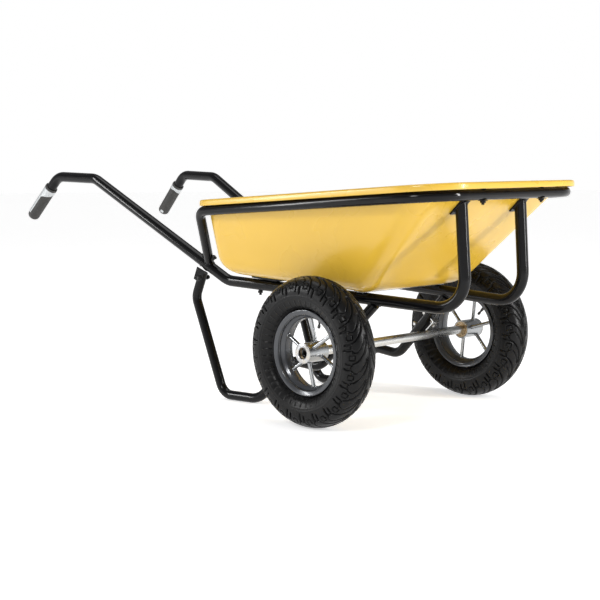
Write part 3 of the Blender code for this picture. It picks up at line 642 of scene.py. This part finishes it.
def wall_ring(share):
    """A ring on the tray's inner wall, from the floor's sharp edge (0) to the top (1)."""
    ring = []
    low = outline(**FLOOR_EDGE)
    high = outline(**WALL_TOP)
    here = outline(**mixed(FLOOR_EDGE, WALL_TOP, share))
    for (x_low, _), (x_high, _), (x, y) in zip(low, high, here):
        z_low = floor_z(x_low) + WALL
        ring.append(at(x, y, z_low + (flange_z(x_high) - z_low) * share))
    return ring


def floor_ring(inset):
    inner = dict(FLOOR_EDGE)
    inner["rear_x"] += inset
    inner["front_x"] -= inset * FRONT_BEND_SHARE
    inner["rear_half"] -= inset
    inner["front_half"] -= inset
    inner["rear_radius"] = max(0.012, FLOOR_EDGE["rear_radius"] - inset * 0.5)
    inner["front_radius"] = max(0.012, FLOOR_EDGE["front_radius"] - inset * 0.5)
    return [at(x, y, floor_z(x) + WALL) for x, y in outline(**inner)]


def bend_top_ring():
    """Where the wall turns straight above the floor's bend: lower down at the nose than behind."""
    ring = []
    length = FLOOR_EDGE["front_x"] - FLOOR_EDGE["rear_x"]
    for tall, short in zip(wall_ring(WALL_BEND_SHARE), wall_ring(NOSE_BEND_SHARE)):
        toward_nose = (tall.x - AXLE_X - FLOOR_EDGE["rear_x"]) / length
        ring.append(tall.lerp(short, min(1.0, max(0.0, toward_nose))))
    return ring


def flange_ring(share, drop):
    """A ring on the tray's flange and lip: the share of its width and how far it lies lower."""
    return [at(x, y, flange_z(x) - drop) for x, y in outline(**mixed(WALL_TOP, LIP_EDGE, share))]


def tray_rings():
    """Rings of the tray's inner and upper surface, from the floor to the lip's lower edge."""
    rings = [floor_ring(FLOOR_BEND + extra) for extra in FLOOR_STEPS]
    curve = list(zip(floor_ring(FLOOR_BEND), wall_ring(0.0), bend_top_ring()))
    for i in range(13):
        share = i / 12
        rings.append([a.lerp(b, share).lerp(b.lerp(c, share), share) for a, b, c in curve])
    rings += [wall_ring(share) for share in WALL_SHARES]
    rings += [flange_ring(share, drop) for share, drop in FLANGE_LINE]
    return rings


def make_tray():
    """The tray's inner surface, thickened outward to its wall and rounded at its edges."""
    body = skin(tray_rings(), caps=False)
    body.verts.ensure_lookup_table()
    count = len(outline(**FLOOR_EDGE))
    body.faces.new(body.verts[:count])
    bmesh.ops.recalc_face_normals(body, faces=body.faces)
    body.faces.ensure_lookup_table()
    if body.faces[-1].normal.z < 0:
        bmesh.ops.reverse_faces(body, faces=body.faces)
    mesh = mesh_of(body, "tray_shell")
    mesh.shade_smooth()
    mesh.materials.append(FINISHES["tray_plastic"])
    obj = shown("tray_shell", mesh)
    shell = obj.modifiers.new("Wall", "SOLIDIFY")
    shell.thickness = WALL
    shell.offset = -1
    shell.use_even_offset = True
    bevelled(obj, 0.0012, 60)
    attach(obj, "frame")
    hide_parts("tray")


# ---------------------------------------------------------------- frame


def front_wall():
    """The outer side of the tray's front wall in the side view: a point under it and its angle."""
    low = Vector((FLOOR_EDGE["front_x"], floor_z(FLOOR_EDGE["front_x"]) + WALL))
    high = Vector((WALL_TOP["front_x"], flange_z(WALL_TOP["front_x"])))
    rise = high - low
    angle = math.atan2(rise.y, rise.x)
    inner = low + rise * (UPRIGHT_TOP_X - low.x) / rise.x
    down = Vector((math.sin(angle), -math.cos(angle)))
    return inner + down * (WALL + PLATE_THICKNESS), angle


def make_handle_tube(name, side):
    """The long tube from the grip to the plate under the nose, with its weld to the plate."""
    top, angle = front_wall()
    points = [on_frame(HANDLE_END, side)]
    points += [on_frame(point, side) for point in HANDLE_BENDS]
    points.append(on_frame(top + (top - Vector(HANDLE_BENDS[-1])) * 0.2, side))
    body = swept(filleted(points, HANDLE_BEND_RADII), HANDLE_RADIUS)
    normal = Vector((-math.sin(angle), 0, math.cos(angle)))
    cut_at = on_frame(top, side)
    faces = [face for face in body.faces if face.calc_center_median().x > AXLE_X]
    edges = list({edge for face in faces for edge in face.edges})
    corners = list({corner for face in faces for corner in face.verts})
    near = corners + edges + faces
    bmesh.ops.bisect_plane(body, geom=near, plane_co=cut_at, plane_no=normal, clear_outer=True)
    bmesh.ops.holes_fill(body, edges=body.edges, sides=0)
    up = (points[-1] - points[-2]).normalized()
    place = pointing(points[-2], up, Vector((1, 0, 0)))
    to_plane = normal.dot(cut_at - points[-2])

    def seam(a):
        foot = round_point(place.to_3x3(), HANDLE_RADIUS, a, 0)
        return (to_plane - normal.dot(foot)) / normal.dot(up) - 0.001

    whole = joined([body, weld_ring(place, HANDLE_RADIUS, seam)])
    add(name + "_handle", whole, "black_paint", "frame", [name + "_handle_tube"])


def cope_seam(place, radius, axis_point, axis_direction, axis_radius):
    """How far along a bar its surface meets a round tube, as a function of the angle round it."""

    def seam(a):
        start = round_point(place, radius, a, 0)
        along = place.to_3x3() @ Vector((0, 0, 1))
        across = along - axis_direction * along.dot(axis_direction)
        gap = start - axis_point
        gap = gap - axis_direction * gap.dot(axis_direction)
        steepness = across.dot(across)
        lean = gap.dot(across)
        room = gap.dot(gap) - axis_radius**2
        return (-lean - math.sqrt(max(0.0, lean * lean - steepness * room))) / steepness

    return seam


def tube_weld(start, end, radius, side, run):
    """The bead where a bar from start ends on a straight run of the handle tube."""
    first = on_frame(HANDLE_BENDS[run], side)
    second = on_frame(HANDLE_BENDS[run + 1], side)
    place = pointing(start, end - start, Vector((0, 1, 0)))
    seam = cope_seam(place, radius, first, (second - first).normalized(), HANDLE_RADIUS)
    return weld_ring(place, radius, seam)


def make_leg(name, side):
    points = [on_frame(LEG_TOP, side)]
    points += [on_frame(point, side) for point in LEG_BENDS]
    points.append(on_frame(LEG_END, side))
    tube = swept(filleted(points, LEG_BEND_RADII), LEG_RADIUS)
    upper = tube_weld(points[1], points[0], LEG_RADIUS, side, 1)
    lower = tube_weld(points[-2], points[-1], LEG_RADIUS, side, 2)
    add(name + "_leg", joined([tube, upper, lower]), "black_paint", "frame", [name + "_leg_tube"])


def make_rim_rail():
    halves = []
    for side in SIDES.values():
        start = on_frame(RAIL_END, side)
        rear = at(RAIL_REAR_X, side * RAIL_HALF_WIDTH, rail_z(RAIL_REAR_X))
        front = at(RAIL_FRONT_X, side * RAIL_HALF_WIDTH, rail_z(RAIL_FRONT_X))
        halves.append([start, rear, front])
    points = halves[0] + list(reversed(halves[1]))
    radii = [RAIL_REAR_BEND, RAIL_FRONT_BEND, RAIL_FRONT_BEND, RAIL_REAR_BEND]
    parts = [swept(filleted(points, radii), RAIL_RADIUS)]
    for (start, rear, _), side in zip(halves, SIDES.values()):
        parts.append(tube_weld(rear, start, RAIL_RADIUS, side, 1))
    add("tray_rail", joined(parts), "black_paint", "frame", ["rim_rail"])


# ---------------------------------------------------------------- wheels


def wheel_matrix(side):
    """A place at the wheel's middle; local Z runs outward and local X forward."""
    return pointing(at(0, side * HALF_TRACK, WHEEL_RADIUS), Vector((0, side, 0)), Vector((1, 0, 0)))


def around_wheel(side, angle, radius, offset):
    x = radius * math.cos(angle)
    z = WHEEL_RADIUS + radius * math.sin(angle)
    return at(x, side * (HALF_TRACK + offset), z)


def smooth_line(points, step):
    """Points a step apart along a smooth curve through the given ones."""
    points = np.array(points)
    first = 2 * points[0] - points[1]
    last = 2 * points[-1] - points[-2]
    padded = np.vstack([first, points, last])
    fine = []
    for a, b, c, d in zip(padded, padded[1:], padded[2:], padded[3:]):
        square = 2 * a - 5 * b + 4 * c - d
        cube = 3 * b - a - 3 * c + d
        for t in np.linspace(0, 1, 40, endpoint=False):
            fine.append(b + 0.5 * ((c - a) * t + square * t**2 + cube * t**3))
    fine.append(points[-1])
    fine = np.array(fine)
    length = np.concatenate([[0], np.cumsum(np.linalg.norm(np.diff(fine, axis=0), axis=1))])
    count = round(length[-1] / step)
    wanted = np.linspace(0, length[-1], count + 1)
    return np.stack([np.interp(wanted, length, fine[:, k]) for k in (0, 1)], axis=1)


# Grooves in one pitch of the tread: (pitch, lateral) points, a width and a depth, in millimetres.
# The lateral place runs from 0 at the middle of the tread to about 70 on the shoulder.
GROOVES = [
    ([(0, 72), (0, 52)], 6.0, 4.6),
    ([(16, 68), (16, 50)], 4.4, 4.2),
    ([(0, 53), (16, 50)], 3.6, 4.0),
    ([(16, 51), (22, 40), (32, 28), (47, 17), (66, 9), (90, 5)], 3.8, 4.2),
    ([(0, 51), (-8, 44), (-8, 34), (3, 24), (17, 15), (34, 9)], 2.6, 3.0),
    ([(28, 58), (42, 58), (42, 43), (28, 43), (28, 58)], 2.4, 2.8),
    ([(42, 50), (49, 50)], 2.4, 2.6),
]
CENTRE_GROOVE = (3.2, 3.4)


def segment_distance(x, y, start, end):
    start = np.array(start, float)
    along = np.array(end, float) - start
    share = ((x - start[0]) * along[0] + (y - start[1]) * along[1]) / (along @ along)
    share = np.clip(share, 0, 1)
    return np.hypot(x - start[0] - share * along[0], y - start[1] - share * along[1])


def groove_depth(distance, width, depth):
    """The depth in a groove with sloping sides, by the distance from its middle line."""
    edge = np.clip((width / 2 + 0.7 - distance) / 1.4, 0, 1)
    return depth * edge * edge * (3 - 2 * edge)


def tread_depths(lateral, pitch):
    """Depth of the grooves over one pitch, for each lateral place: rows run across the tyre."""
    x, y = np.meshgrid(np.linspace(0, pitch, PITCH_STEPS, endpoint=False), lateral)
    right = y < 0
    x = np.where(right, (x + pitch / 2) % pitch, x)
    y = np.abs(y)
    deepest = groove_depth(y, *CENTRE_GROOVE)
    for points, width, depth in GROOVES:
        for shift in (-2, -1, 0, 1):
            for start, end in zip(points, points[1:]):
                first = (start[0] + shift * pitch, start[1])
                last = (end[0] + shift * pitch, end[1])
                distance = segment_distance(x, y, first, last)
                deepest = np.maximum(deepest, groove_depth(distance, width, depth))
    return deepest / 1000


def sidewall_relief(radius, steps):
    """Moulded ribs on the sidewall near the bead, and rings on each side of them."""
    turn = np.arange(steps) / steps
    wave = 0.5 + 0.5 * np.cos(2 * math.pi * SIDEWALL_RIBS * turn)
    ribs = np.clip((wave - 0.86) / 0.10, 0, 1) * RIB_HEIGHT
    inside = np.clip((radius - RIB_INNER) / RIB_FADE, 0, 1) * np.clip((RIB_OUTER - radius) / RIB_FADE, 0, 1)
    rings = sum(RING_HEIGHT * np.exp(-(((radius - place) / RING_WIDTH) ** 2)) for place in SIDEWALL_RINGS)
    return inside[:, None] * ribs[None, :] + rings[:, None]


# Half of the tyre's outer line, from bead to tread, as (radius, distance from its middle plane).
TYRE_LINE = [(0.1045, 0.0195), (0.1075, 0.0236), (0.1150, 0.0262), (0.1250, 0.0400), (0.1420, 0.0480)]
TYRE_LINE += [(0.1600, 0.0493), (0.1715, 0.0472), (0.1820, 0.0420), (0.1925, 0.0295), (0.1982, 0.0140)]
TYRE_INNER_RADIUS = 0.1060


def make_tyre(name, side):
    """The tyre's outer surface with its tread cut into it, closed between the beads."""
    profile = TYRE_LINE + [(WHEEL_RADIUS, 0.0)] + [(r, -h) for r, h in reversed(TYRE_LINE)]
    line = smooth_line(profile, PROFILE_STEP)
    along = np.gradient(line, axis=0)
    along /= np.linalg.norm(along, axis=1)[:, None]
    normal = np.stack([-along[:, 1], along[:, 0]], axis=1)
    middle = len(line) // 2
    if normal[middle, 0] < 0:
        normal = -normal
    lateral = (np.arange(len(line)) - middle) * PROFILE_STEP * 1000
    steps = PITCHES * PITCH_STEPS
    pitch = 2 * math.pi * WHEEL_RADIUS * 1000 / PITCHES
    depth = np.tile(tread_depths(lateral, pitch), (1, PITCHES))
    raised = sidewall_relief(line[:, 0], steps) - depth
    radius = line[:, 0][:, None] + normal[:, 0][:, None] * raised
    height = line[:, 1][:, None] + normal[:, 1][:, None] * raised
    radius = np.vstack([radius, np.full((1, steps), TYRE_INNER_RADIUS)])
    height = np.vstack([height, np.zeros((1, steps))])
    angle = 2 * math.pi * np.arange(steps) / steps
    flat = np.stack([radius * np.cos(angle), radius * np.sin(angle), height], axis=2)
    matrix = np.array(wheel_matrix(side))
    points = flat.reshape(-1, 3) @ matrix[:3, :3].T + matrix[:3, 3]
    rows = len(radius)
    i, j = np.meshgrid(np.arange(rows), np.arange(steps), indexing="ij")
    near, far = i * steps, ((i + 1) % rows) * steps
    turn = (j + 1) % steps
    faces = np.stack([near + j, near + turn, far + turn, far + j], axis=2).reshape(-1, 4)
    mesh = bpy.data.meshes.new(name + "_tread")
    mesh.from_pydata(points.tolist(), [], faces.tolist())
    body = bmesh.new()
    body.from_mesh(mesh)
    bpy.data.meshes.remove(mesh)
    add(name + "_tyre_tread", body, "tyre_rubber", name, [name + "_tyre"], 50)


# Half of the rim's inner line, from its rolled edge down to the well.
RIM_LINE = [(RIM_EDGE - 0.0006, 0.0289), (RIM_EDGE + 0.0002, 0.0302), (RIM_EDGE - 0.0010, 0.0313)]
RIM_LINE += [(RIM_EDGE - 0.0034, 0.0310), (RIM_EDGE - 0.0062, 0.0300), (0.1020, 0.0290)]
RIM_LINE += [(0.1000, 0.0278), (0.0994, 0.0262), (0.0992, 0.0190), (0.0998, 0.0178), (0.0990, 0.0162)]
RIM_LINE += [(0.0966, 0.0146), (0.0930, 0.0118), (0.0906, 0.0098), (0.0900, 0.0080)]


def make_rim(name, side):
    """A pressed drop-centre rim with rolled edges and stepped bead seats."""
    inner = RIM_LINE + [(r, -h) for r, h in reversed(RIM_LINE)]
    outer = [(RIM_WELL, 0.0085), (BEAD_RADIUS, 0.0140), (BEAD_RADIUS + 0.0004, 0.0240), (0.1095, 0.0280)]
    outer = [(r, -h) for r, h in reversed(outer)] + outer
    body = lathed(inner + outer, wheel_matrix(side), WHEEL_STEPS)
    add(name + "_pressed_rim", body, "grey_paint", name, [name + "_rim"], 50)


def level_seam(reach):
    """A seam that runs straight round a bar, at one place along it."""

    def seam(_):
        return reach

    return seam


def make_hub(name, side):
    """The hub shell, its six round spokes and the weld at each end of them."""
    chamfer = 0.0012
    profile = [
        (HUB_RADIUS, HUB_OUT - chamfer),
        (HUB_RADIUS, -HUB_IN + chamfer),
        (HUB_RADIUS - chamfer, -HUB_IN),
        (HUB_BORE + 0.0006, -HUB_IN),
        (HUB_BORE, -HUB_IN + 0.0006),
        (HUB_BORE, HUB_OUT),
        (HUB_RADIUS - chamfer, HUB_OUT),
    ]
    parts = [lathed(profile, wheel_matrix(side), WHEEL_STEPS)]
    for i in range(SPOKES):
        angle = SPOKE_START[side] + 2 * math.pi * i / SPOKES
        lean = -1 if (i % 2 == 0) == (side < 0) else 1
        start = around_wheel(side, angle, HUB_RADIUS - 0.002, lean * SPOKE_STAGGER)
        end = around_wheel(side, angle, RIM_WELL - RIM_WALL + 0.0004, lean * SPOKE_TIP_STAGGER)
        parts.append(swept([start, end], SPOKE_RADIUS, 28))
        for place, (reach, thickness) in (
            (pointing(start, end - start), SPOKE_ROOT_BEAD),
            (pointing(end, start - end), SPOKE_TIP_BEAD),
        ):
            parts.append(weld_ring(place, SPOKE_RADIUS, level_seam(reach), thickness, 48))
    add(name + "_hub_and_spokes", joined(parts), "bright_steel", name, [name + "_hub"])


def race(outer_radius, bore, low, high):
    return [(outer_radius, high), (outer_radius, low), (bore, low), (bore, high)]


def make_bearing(name, node, side, low, high):
    """An outer race, an inner race, a cage plate and the rollers, between two heights."""
    matrix = wheel_matrix(side)
    outer = race(HUB_BORE - 0.0003, OUTER_RACE_BORE, low, high)
    inner = race(INNER_RACE_RADIUS, INNER_RACE_BORE, low, high - 0.0008)
    cage = race(OUTER_RACE_BORE, INNER_RACE_RADIUS, low + 0.0022, high - 0.0022)
    parts = [lathed(profile, matrix, 96) for profile in (outer, inner, cage)]
    circle = (OUTER_RACE_BORE + INNER_RACE_RADIUS) / 2
    for i in range(ROLLERS):
        a = 2 * math.pi * i / ROLLERS
        start = round_point(matrix, circle, a, low + 0.0008)
        end = round_point(matrix, circle, a, high - 0.0008)
        path = [start, start.lerp(end, 0.04), start.lerp(end, 0.96), end]
        parts.append(swept(path, ROLLER_ENDS, 14))
    add(node + "_races", joined(parts), "bearing_bronze", name, [node])


def make_hub_face(name, side):
    """The silver washer on the hub's outer end, with a groove round its hole."""
    low = HUB_OUT + WASHER_GAP
    high = low + WASHER_THICKNESS
    profile = [
        (HUB_RADIUS + 0.0006, low),
        (WASHER_BORE, low),
        (WASHER_BORE, high - 0.0005),
        (WASHER_BORE + 0.0005, high),
        (0.0165, high),
        (0.0170, high - 0.0005),
        (0.0176, high),
        (HUB_RADIUS - 0.0002, high),
        (HUB_RADIUS + 0.0006, high - 0.0006),
    ]
    body = lathed(profile, wheel_matrix(side), WHEEL_STEPS)
    add(name + "_hub_washer", body, "zinc", name, [name + "_hub_face"])


VALVE_STEM = [(0.0, 0.0), (0.0052, 0.0), (0.0054, 0.0015), (0.0050, 0.0040), (0.0046, 0.0060)]
VALVE_STEM += [(0.0040, 0.0215), (0.0034, 0.0225)]
VALVE_NECK = 0.0230
VALVE_THREADS = 6
VALVE_THREAD_PITCH = 0.0010
VALVE_LENGTH = 0.0290
VALVE_CAP_RIDGES = 14
# Height, radius and depth of the ridges for each ring of the valve's cap.
VALVE_CAP = [(0.0293, 0.0038, 0.0), (0.0300, 0.0041, 0.0003), (0.0360, 0.0040, 0.0003)]
VALVE_CAP += [(0.0374, 0.0035, 0.0), (0.0380, 0.0024, 0.0)]


def make_valve(name, side):
    """The rubber valve stem with its threaded neck, and the ridged cap."""
    angle = VALVE_ANGLE[side]
    root = around_wheel(side, angle, BEAD_RADIUS, VALVE_OFFSET)
    place = pointing(root, around_wheel(side, angle, 0.0, VALVE_OFFSET) - root)
    stem = list(VALVE_STEM)
    for i in range(VALVE_THREADS):
        height = VALVE_NECK + i * VALVE_THREAD_PITCH
        stem += [(0.0027, height), (0.0024, height + VALVE_THREAD_PITCH / 2)]
    stem += [(0.0024, VALVE_LENGTH), (0.0, VALVE_LENGTH)]
    add(name + "_valve", lathed(stem, place, 32, False), "butyl", name, [name + "_valve_stem"])
    steps = VALVE_CAP_RIDGES * 4
    rings = []
    for height, radius, depth in VALVE_CAP:
        ring = []
        for k in range(steps):
            a = 2 * math.pi * k / steps
            r = radius - depth * (1 + math.cos(VALVE_CAP_RIDGES * a)) / 2
            ring.append(round_point(place, r, a, height))
        rings.append(ring)
    add(name + "_dust_cap", skin(rings), "butyl", name, [name + "_valve_cap"])


def make_wheel(name, side):
    make_tyre(name, side)
    make_rim(name, side)
    make_hub(name, side)
    make_bearing(name, name + "_inner_bearing", side, *INNER_BEARING)
    make_bearing(name, name + "_outer_bearing", side, *OUTER_BEARING)
    make_hub_face(name, side)
    make_valve(name, side)


def make_axle():
    chamfer = 0.0008
    end = AXLE_HALF_LENGTH
    profile = [
        (AXLE_RADIUS, end - chamfer),
        (AXLE_RADIUS, -end + chamfer),
        (AXLE_RADIUS - chamfer, -end),
        (AXLE_RADIUS - AXLE_WALL, -end),
        (AXLE_RADIUS - AXLE_WALL, end),
        (AXLE_RADIUS - chamfer, end),
    ]
    place = pointing(at(0, 0, WHEEL_RADIUS), Vector((0, 1, 0)))
    add("axle_tube", lathed(profile, place, 96), "galvanised", "frame", ["axle"])


# ---------------------------------------------------------------- grips


def grip_matrix(side):
    """A place at the grip's lower end; local Z runs up the tube and local X outward and back."""
    end = on_frame(HANDLE_END, side)
    axis = on_frame(HANDLE_BENDS[0], side) - end
    back, outward, up = INLAY_FACES
    return pointing(end, axis, Vector((back, outward * side, up)))


def make_grip(name, side):
    """The ribbed sleeve, the silver inlay that widens into a ring, and the collar above it."""
    matrix = grip_matrix(side)
    profile = [(0.0, -0.0050), (0.0080, -0.0050), (0.0120, -0.0044), (0.0152, -0.0028), (0.0174, -0.0002)]
    profile += [(0.0188, 0.0034), (GRIP_RADIUS, 0.0080)]
    for i in range(SLEEVE_RIBS):
        z = SLEEVE_RIBS_START + i * SLEEVE_RIB_PITCH
        profile += [(GRIP_RADIUS, z), (GRIP_RADIUS - 0.0004, z + 0.0008), (GRIP_RADIUS, z + 0.0016)]
    profile += [(GRIP_RADIUS, GRIP_LENGTH - 0.0010), (GRIP_RADIUS - 0.001, GRIP_LENGTH)]
    profile.append((0.0163, GRIP_LENGTH))
    add(name + "_grip_sleeve", lathed(profile, matrix, 72, False), "grip_rubber", "frame", [name + "_grip"])
    make_inlay(name, matrix)
    start, end = GRIP_LENGTH + 0.0003, GRIP_LENGTH + COLLAR_LENGTH
    outer = GRIP_RADIUS + 0.0014
    ring = [(outer - 0.0006, start), (0.0163, start), (0.0163, end), (outer - 0.0022, end)]
    ring += [(outer - 0.0004, end - 0.0014), (outer, start + 0.0012)]
    add(name + "_grip_ring", lathed(ring, matrix, 72), "grip_rubber", "frame", [name + "_grip_collar"])


def inlay_half_angle(z):
    """The inlay is narrow along the grip and flares into a whole ring at the top."""
    flare = max(0.0, (z - INLAY_FLARE_START) / INLAY_FLARE_LENGTH)
    return math.radians(min(180.0, INLAY_HALF_DEGREES + (180.0 - INLAY_HALF_DEGREES) * flare**1.7))


def make_inlay(name, matrix):
    """The silver strip, with small ribs across it and edges that roll down to the sleeve."""
    rows = []
    steps = INLAY_STEPS
    length = GRIP_LENGTH + 0.0002 - INLAY_START
    for i in range(INLAY_ROWS + 1):
        z = INLAY_START + length * i / INLAY_ROWS
        half = inlay_half_angle(z)
        rib = INLAY_RIB_DEPTH * (1 + math.cos(2 * math.pi * z / INLAY_RIB_PITCH)) / 2
        dip = rib if z < INLAY_RIBS_END else 0.0
        row = []
        for k in range(steps + 1):
            share = 2 * k / steps - 1
            edge = 0.0009 * (1 - min(1.0, (1 - abs(share)) * half / 0.12)) if half < 3.1 else 0.0
            row.append(round_point(matrix, GRIP_RADIUS + INLAY_LIFT - edge - dip, half * share, z))
        for k in range(steps + 1):
            row.append(round_point(matrix, GRIP_RADIUS - 0.0004, half * (1 - 2 * k / steps), z))
        rows.append(row)
    add(name + "_silver_inlay", skin(rows), "silver_plastic", "frame", [name + "_grip_inlay"])
    make_end_mark(name, matrix)


# Height along the grip, half angle and lift above its surface, for each row of the end mark.
END_MARK = [(0.0035, 0.18, 0.0), (0.0050, 0.30, 0.0007), (0.0120, 0.30, 0.0009), (0.0150, 0.20, 0.0)]


def make_end_mark(name, matrix):
    """The small silver pad at the grip's lower end."""
    rows = []
    for z, half, lift in END_MARK:
        row = []
        for k in range(9):
            row.append(round_point(matrix, GRIP_RADIUS - 0.0002 + lift, math.pi + half * (k / 4 - 1), z))
        for k in range(9):
            row.append(round_point(matrix, GRIP_RADIUS - 0.0015, math.pi + half * (1 - k / 4), z))
        rows.append(row)
    add(name + "_grip_end_mark", skin(rows), "silver_plastic", "frame")


# ---------------------------------------------------------------- carried-over CAD nodes


CARRIED = {
    "black_paint": ["rear_crossbar", "{}_upright_plate", "{}_leg_clamp"],
    "galvanised": ["front_crossbar", "{}_axle_saddle"],
    "zinc": ["{}_upper_axle_bolt", "{}_lower_axle_bolt", "{}_wheel_retaining_ring"],
    "black_bolts": ["{}_plate_bolt", "{}_rim_bolt", "{}_leg_bolt", "{}_rail_end_bolt", "{}_crossbar_stud"],
    "butyl": ["{}_wheel_inner_tube"],
}


def dress_cad_nodes():
    """Gives the CAD nodes that stay visible their finish and softly rounded edges."""
    for finish, patterns in CARRIED.items():
        for pattern in patterns:
            for name in sorted({pattern.format(side) for side in SIDES}):
                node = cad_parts[name]
                node.data.materials.clear()
                node.data.materials.append(FINISHES[finish])
                bevelled(node, 0.0004, 35)


# ---------------------------------------------------------------- studio


CAMERA_PLACE = Vector((2.83154, -2.81371, 0.68870))
CAMERA_AZIMUTH = math.radians(44.137)
CAMERA_ELEVATION = math.radians(5.7706)
CAMERA_ROLL = math.radians(-0.3371)
CAMERA_LENS = 79.45
CAMERA_SHIFT = (-0.004706, -0.003424)


def make_camera():
    """The camera stands ahead of the wheelbarrow on its right and looks back along it."""
    data = bpy.data.cameras.new("camera")
    data.lens = CAMERA_LENS
    data.sensor_width = 36.0
    data.shift_x, data.shift_y = CAMERA_SHIFT
    camera = shown("camera", data)
    a, e, roll = CAMERA_AZIMUTH, CAMERA_ELEVATION, CAMERA_ROLL
    back = Vector((math.sin(a) * math.cos(e), -math.cos(a) * math.cos(e), math.sin(e)))
    right = Vector((math.cos(a), math.sin(a), 0))
    up = back.cross(right)
    rolled_right = right * math.cos(roll) + up * math.sin(roll)
    rolled_up = up * math.cos(roll) - right * math.sin(roll)
    turn = Matrix((rolled_right, rolled_up, back)).transposed().to_4x4()
    camera.matrix_world = Matrix.Translation(CAMERA_PLACE) @ turn
    bpy.context.scene.camera = camera


def make_floor():
    body = bmesh.new()
    bmesh.ops.create_circle(body, cap_ends=True, segments=96, radius=FLOOR_RADIUS)
    mesh = mesh_of(body, "studio_floor")
    mesh.materials.append(floor_paint())
    shown("studio_floor", mesh)


def softbox(name, place, target, size, power):
    """A rectangular area light that faces its target."""
    data = bpy.data.lights.new(name, "AREA")
    data.shape = "RECTANGLE"
    data.size, data.size_y = size
    data.energy = power
    light = shown(name, data)
    toward = Vector(target) - Vector(place)
    light.matrix_world = Matrix.Translation(place) @ toward.to_track_quat("-Z", "Y").to_matrix().to_4x4()


# Name, place, target, width and height, and power of each softbox.
SOFTBOXES = [
    ("key", (1.4, -3.4, 2.4), (0.0, 0.0, 0.4), (0.8, 0.6), 42),
    ("nose_strip", (3.4, 1.0, 1.3), (0.2, 0.0, 0.4), (0.25, 2.0), 75),
    ("rear_strip", (-2.2, -2.8, 1.5), (-0.2, 0.0, 0.4), (0.25, 2.0), 45),
    ("top", (-0.4, 0.3, 3.2), (0.0, 0.0, 0.0), (2.4, 1.6), 30),
]
# The surroundings fade between two brightnesses over a band of height above the horizon.
HORIZON_BAND = (0.13, 0.24)
HORIZON_FADE = (1.0, 0.30)


def make_world():
    """Pale surroundings, bright near the horizon and dim above it."""
    world = bpy.data.worlds.new("studio")
    bpy.context.scene.world = world
    world.use_nodes = True
    tree = world.node_tree
    split = tree.nodes.new("ShaderNodeSeparateXYZ")
    tree.links.new(tree.nodes.new("ShaderNodeTexCoord").outputs["Generated"], split.inputs["Vector"])
    fade = tree.nodes.new("ShaderNodeMapRange")
    fade.interpolation_type = "SMOOTHSTEP"
    for socket, setting in zip(RAMP_SOCKETS, HORIZON_BAND + HORIZON_FADE):
        fade.inputs[socket].default_value = setting
    tree.links.new(split.outputs["Z"], fade.inputs["Value"])
    tree.links.new(fade.outputs["Result"], tree.nodes["Background"].inputs["Strength"])
    tree.nodes["Background"].inputs["Color"].default_value = (1.0, 1.0, 1.0, 1.0)


def make_light():
    """The surroundings and the softboxes, shown with plain colours."""
    make_world()
    for light in SOFTBOXES:
        softbox(*light)
    scene = bpy.context.scene
    scene.view_settings.view_transform = "Standard"
    scene.view_settings.look = "None"


make_camera()
make_floor()
make_light()
make_tray()
make_rim_rail()
make_axle()
for side_name, side_sign in SIDES.items():
    make_handle_tube(side_name, side_sign)
    make_leg(side_name, side_sign)
    make_wheel(side_name + "_wheel", side_sign)
    make_grip(side_name, side_sign)
dress_cad_nodes()
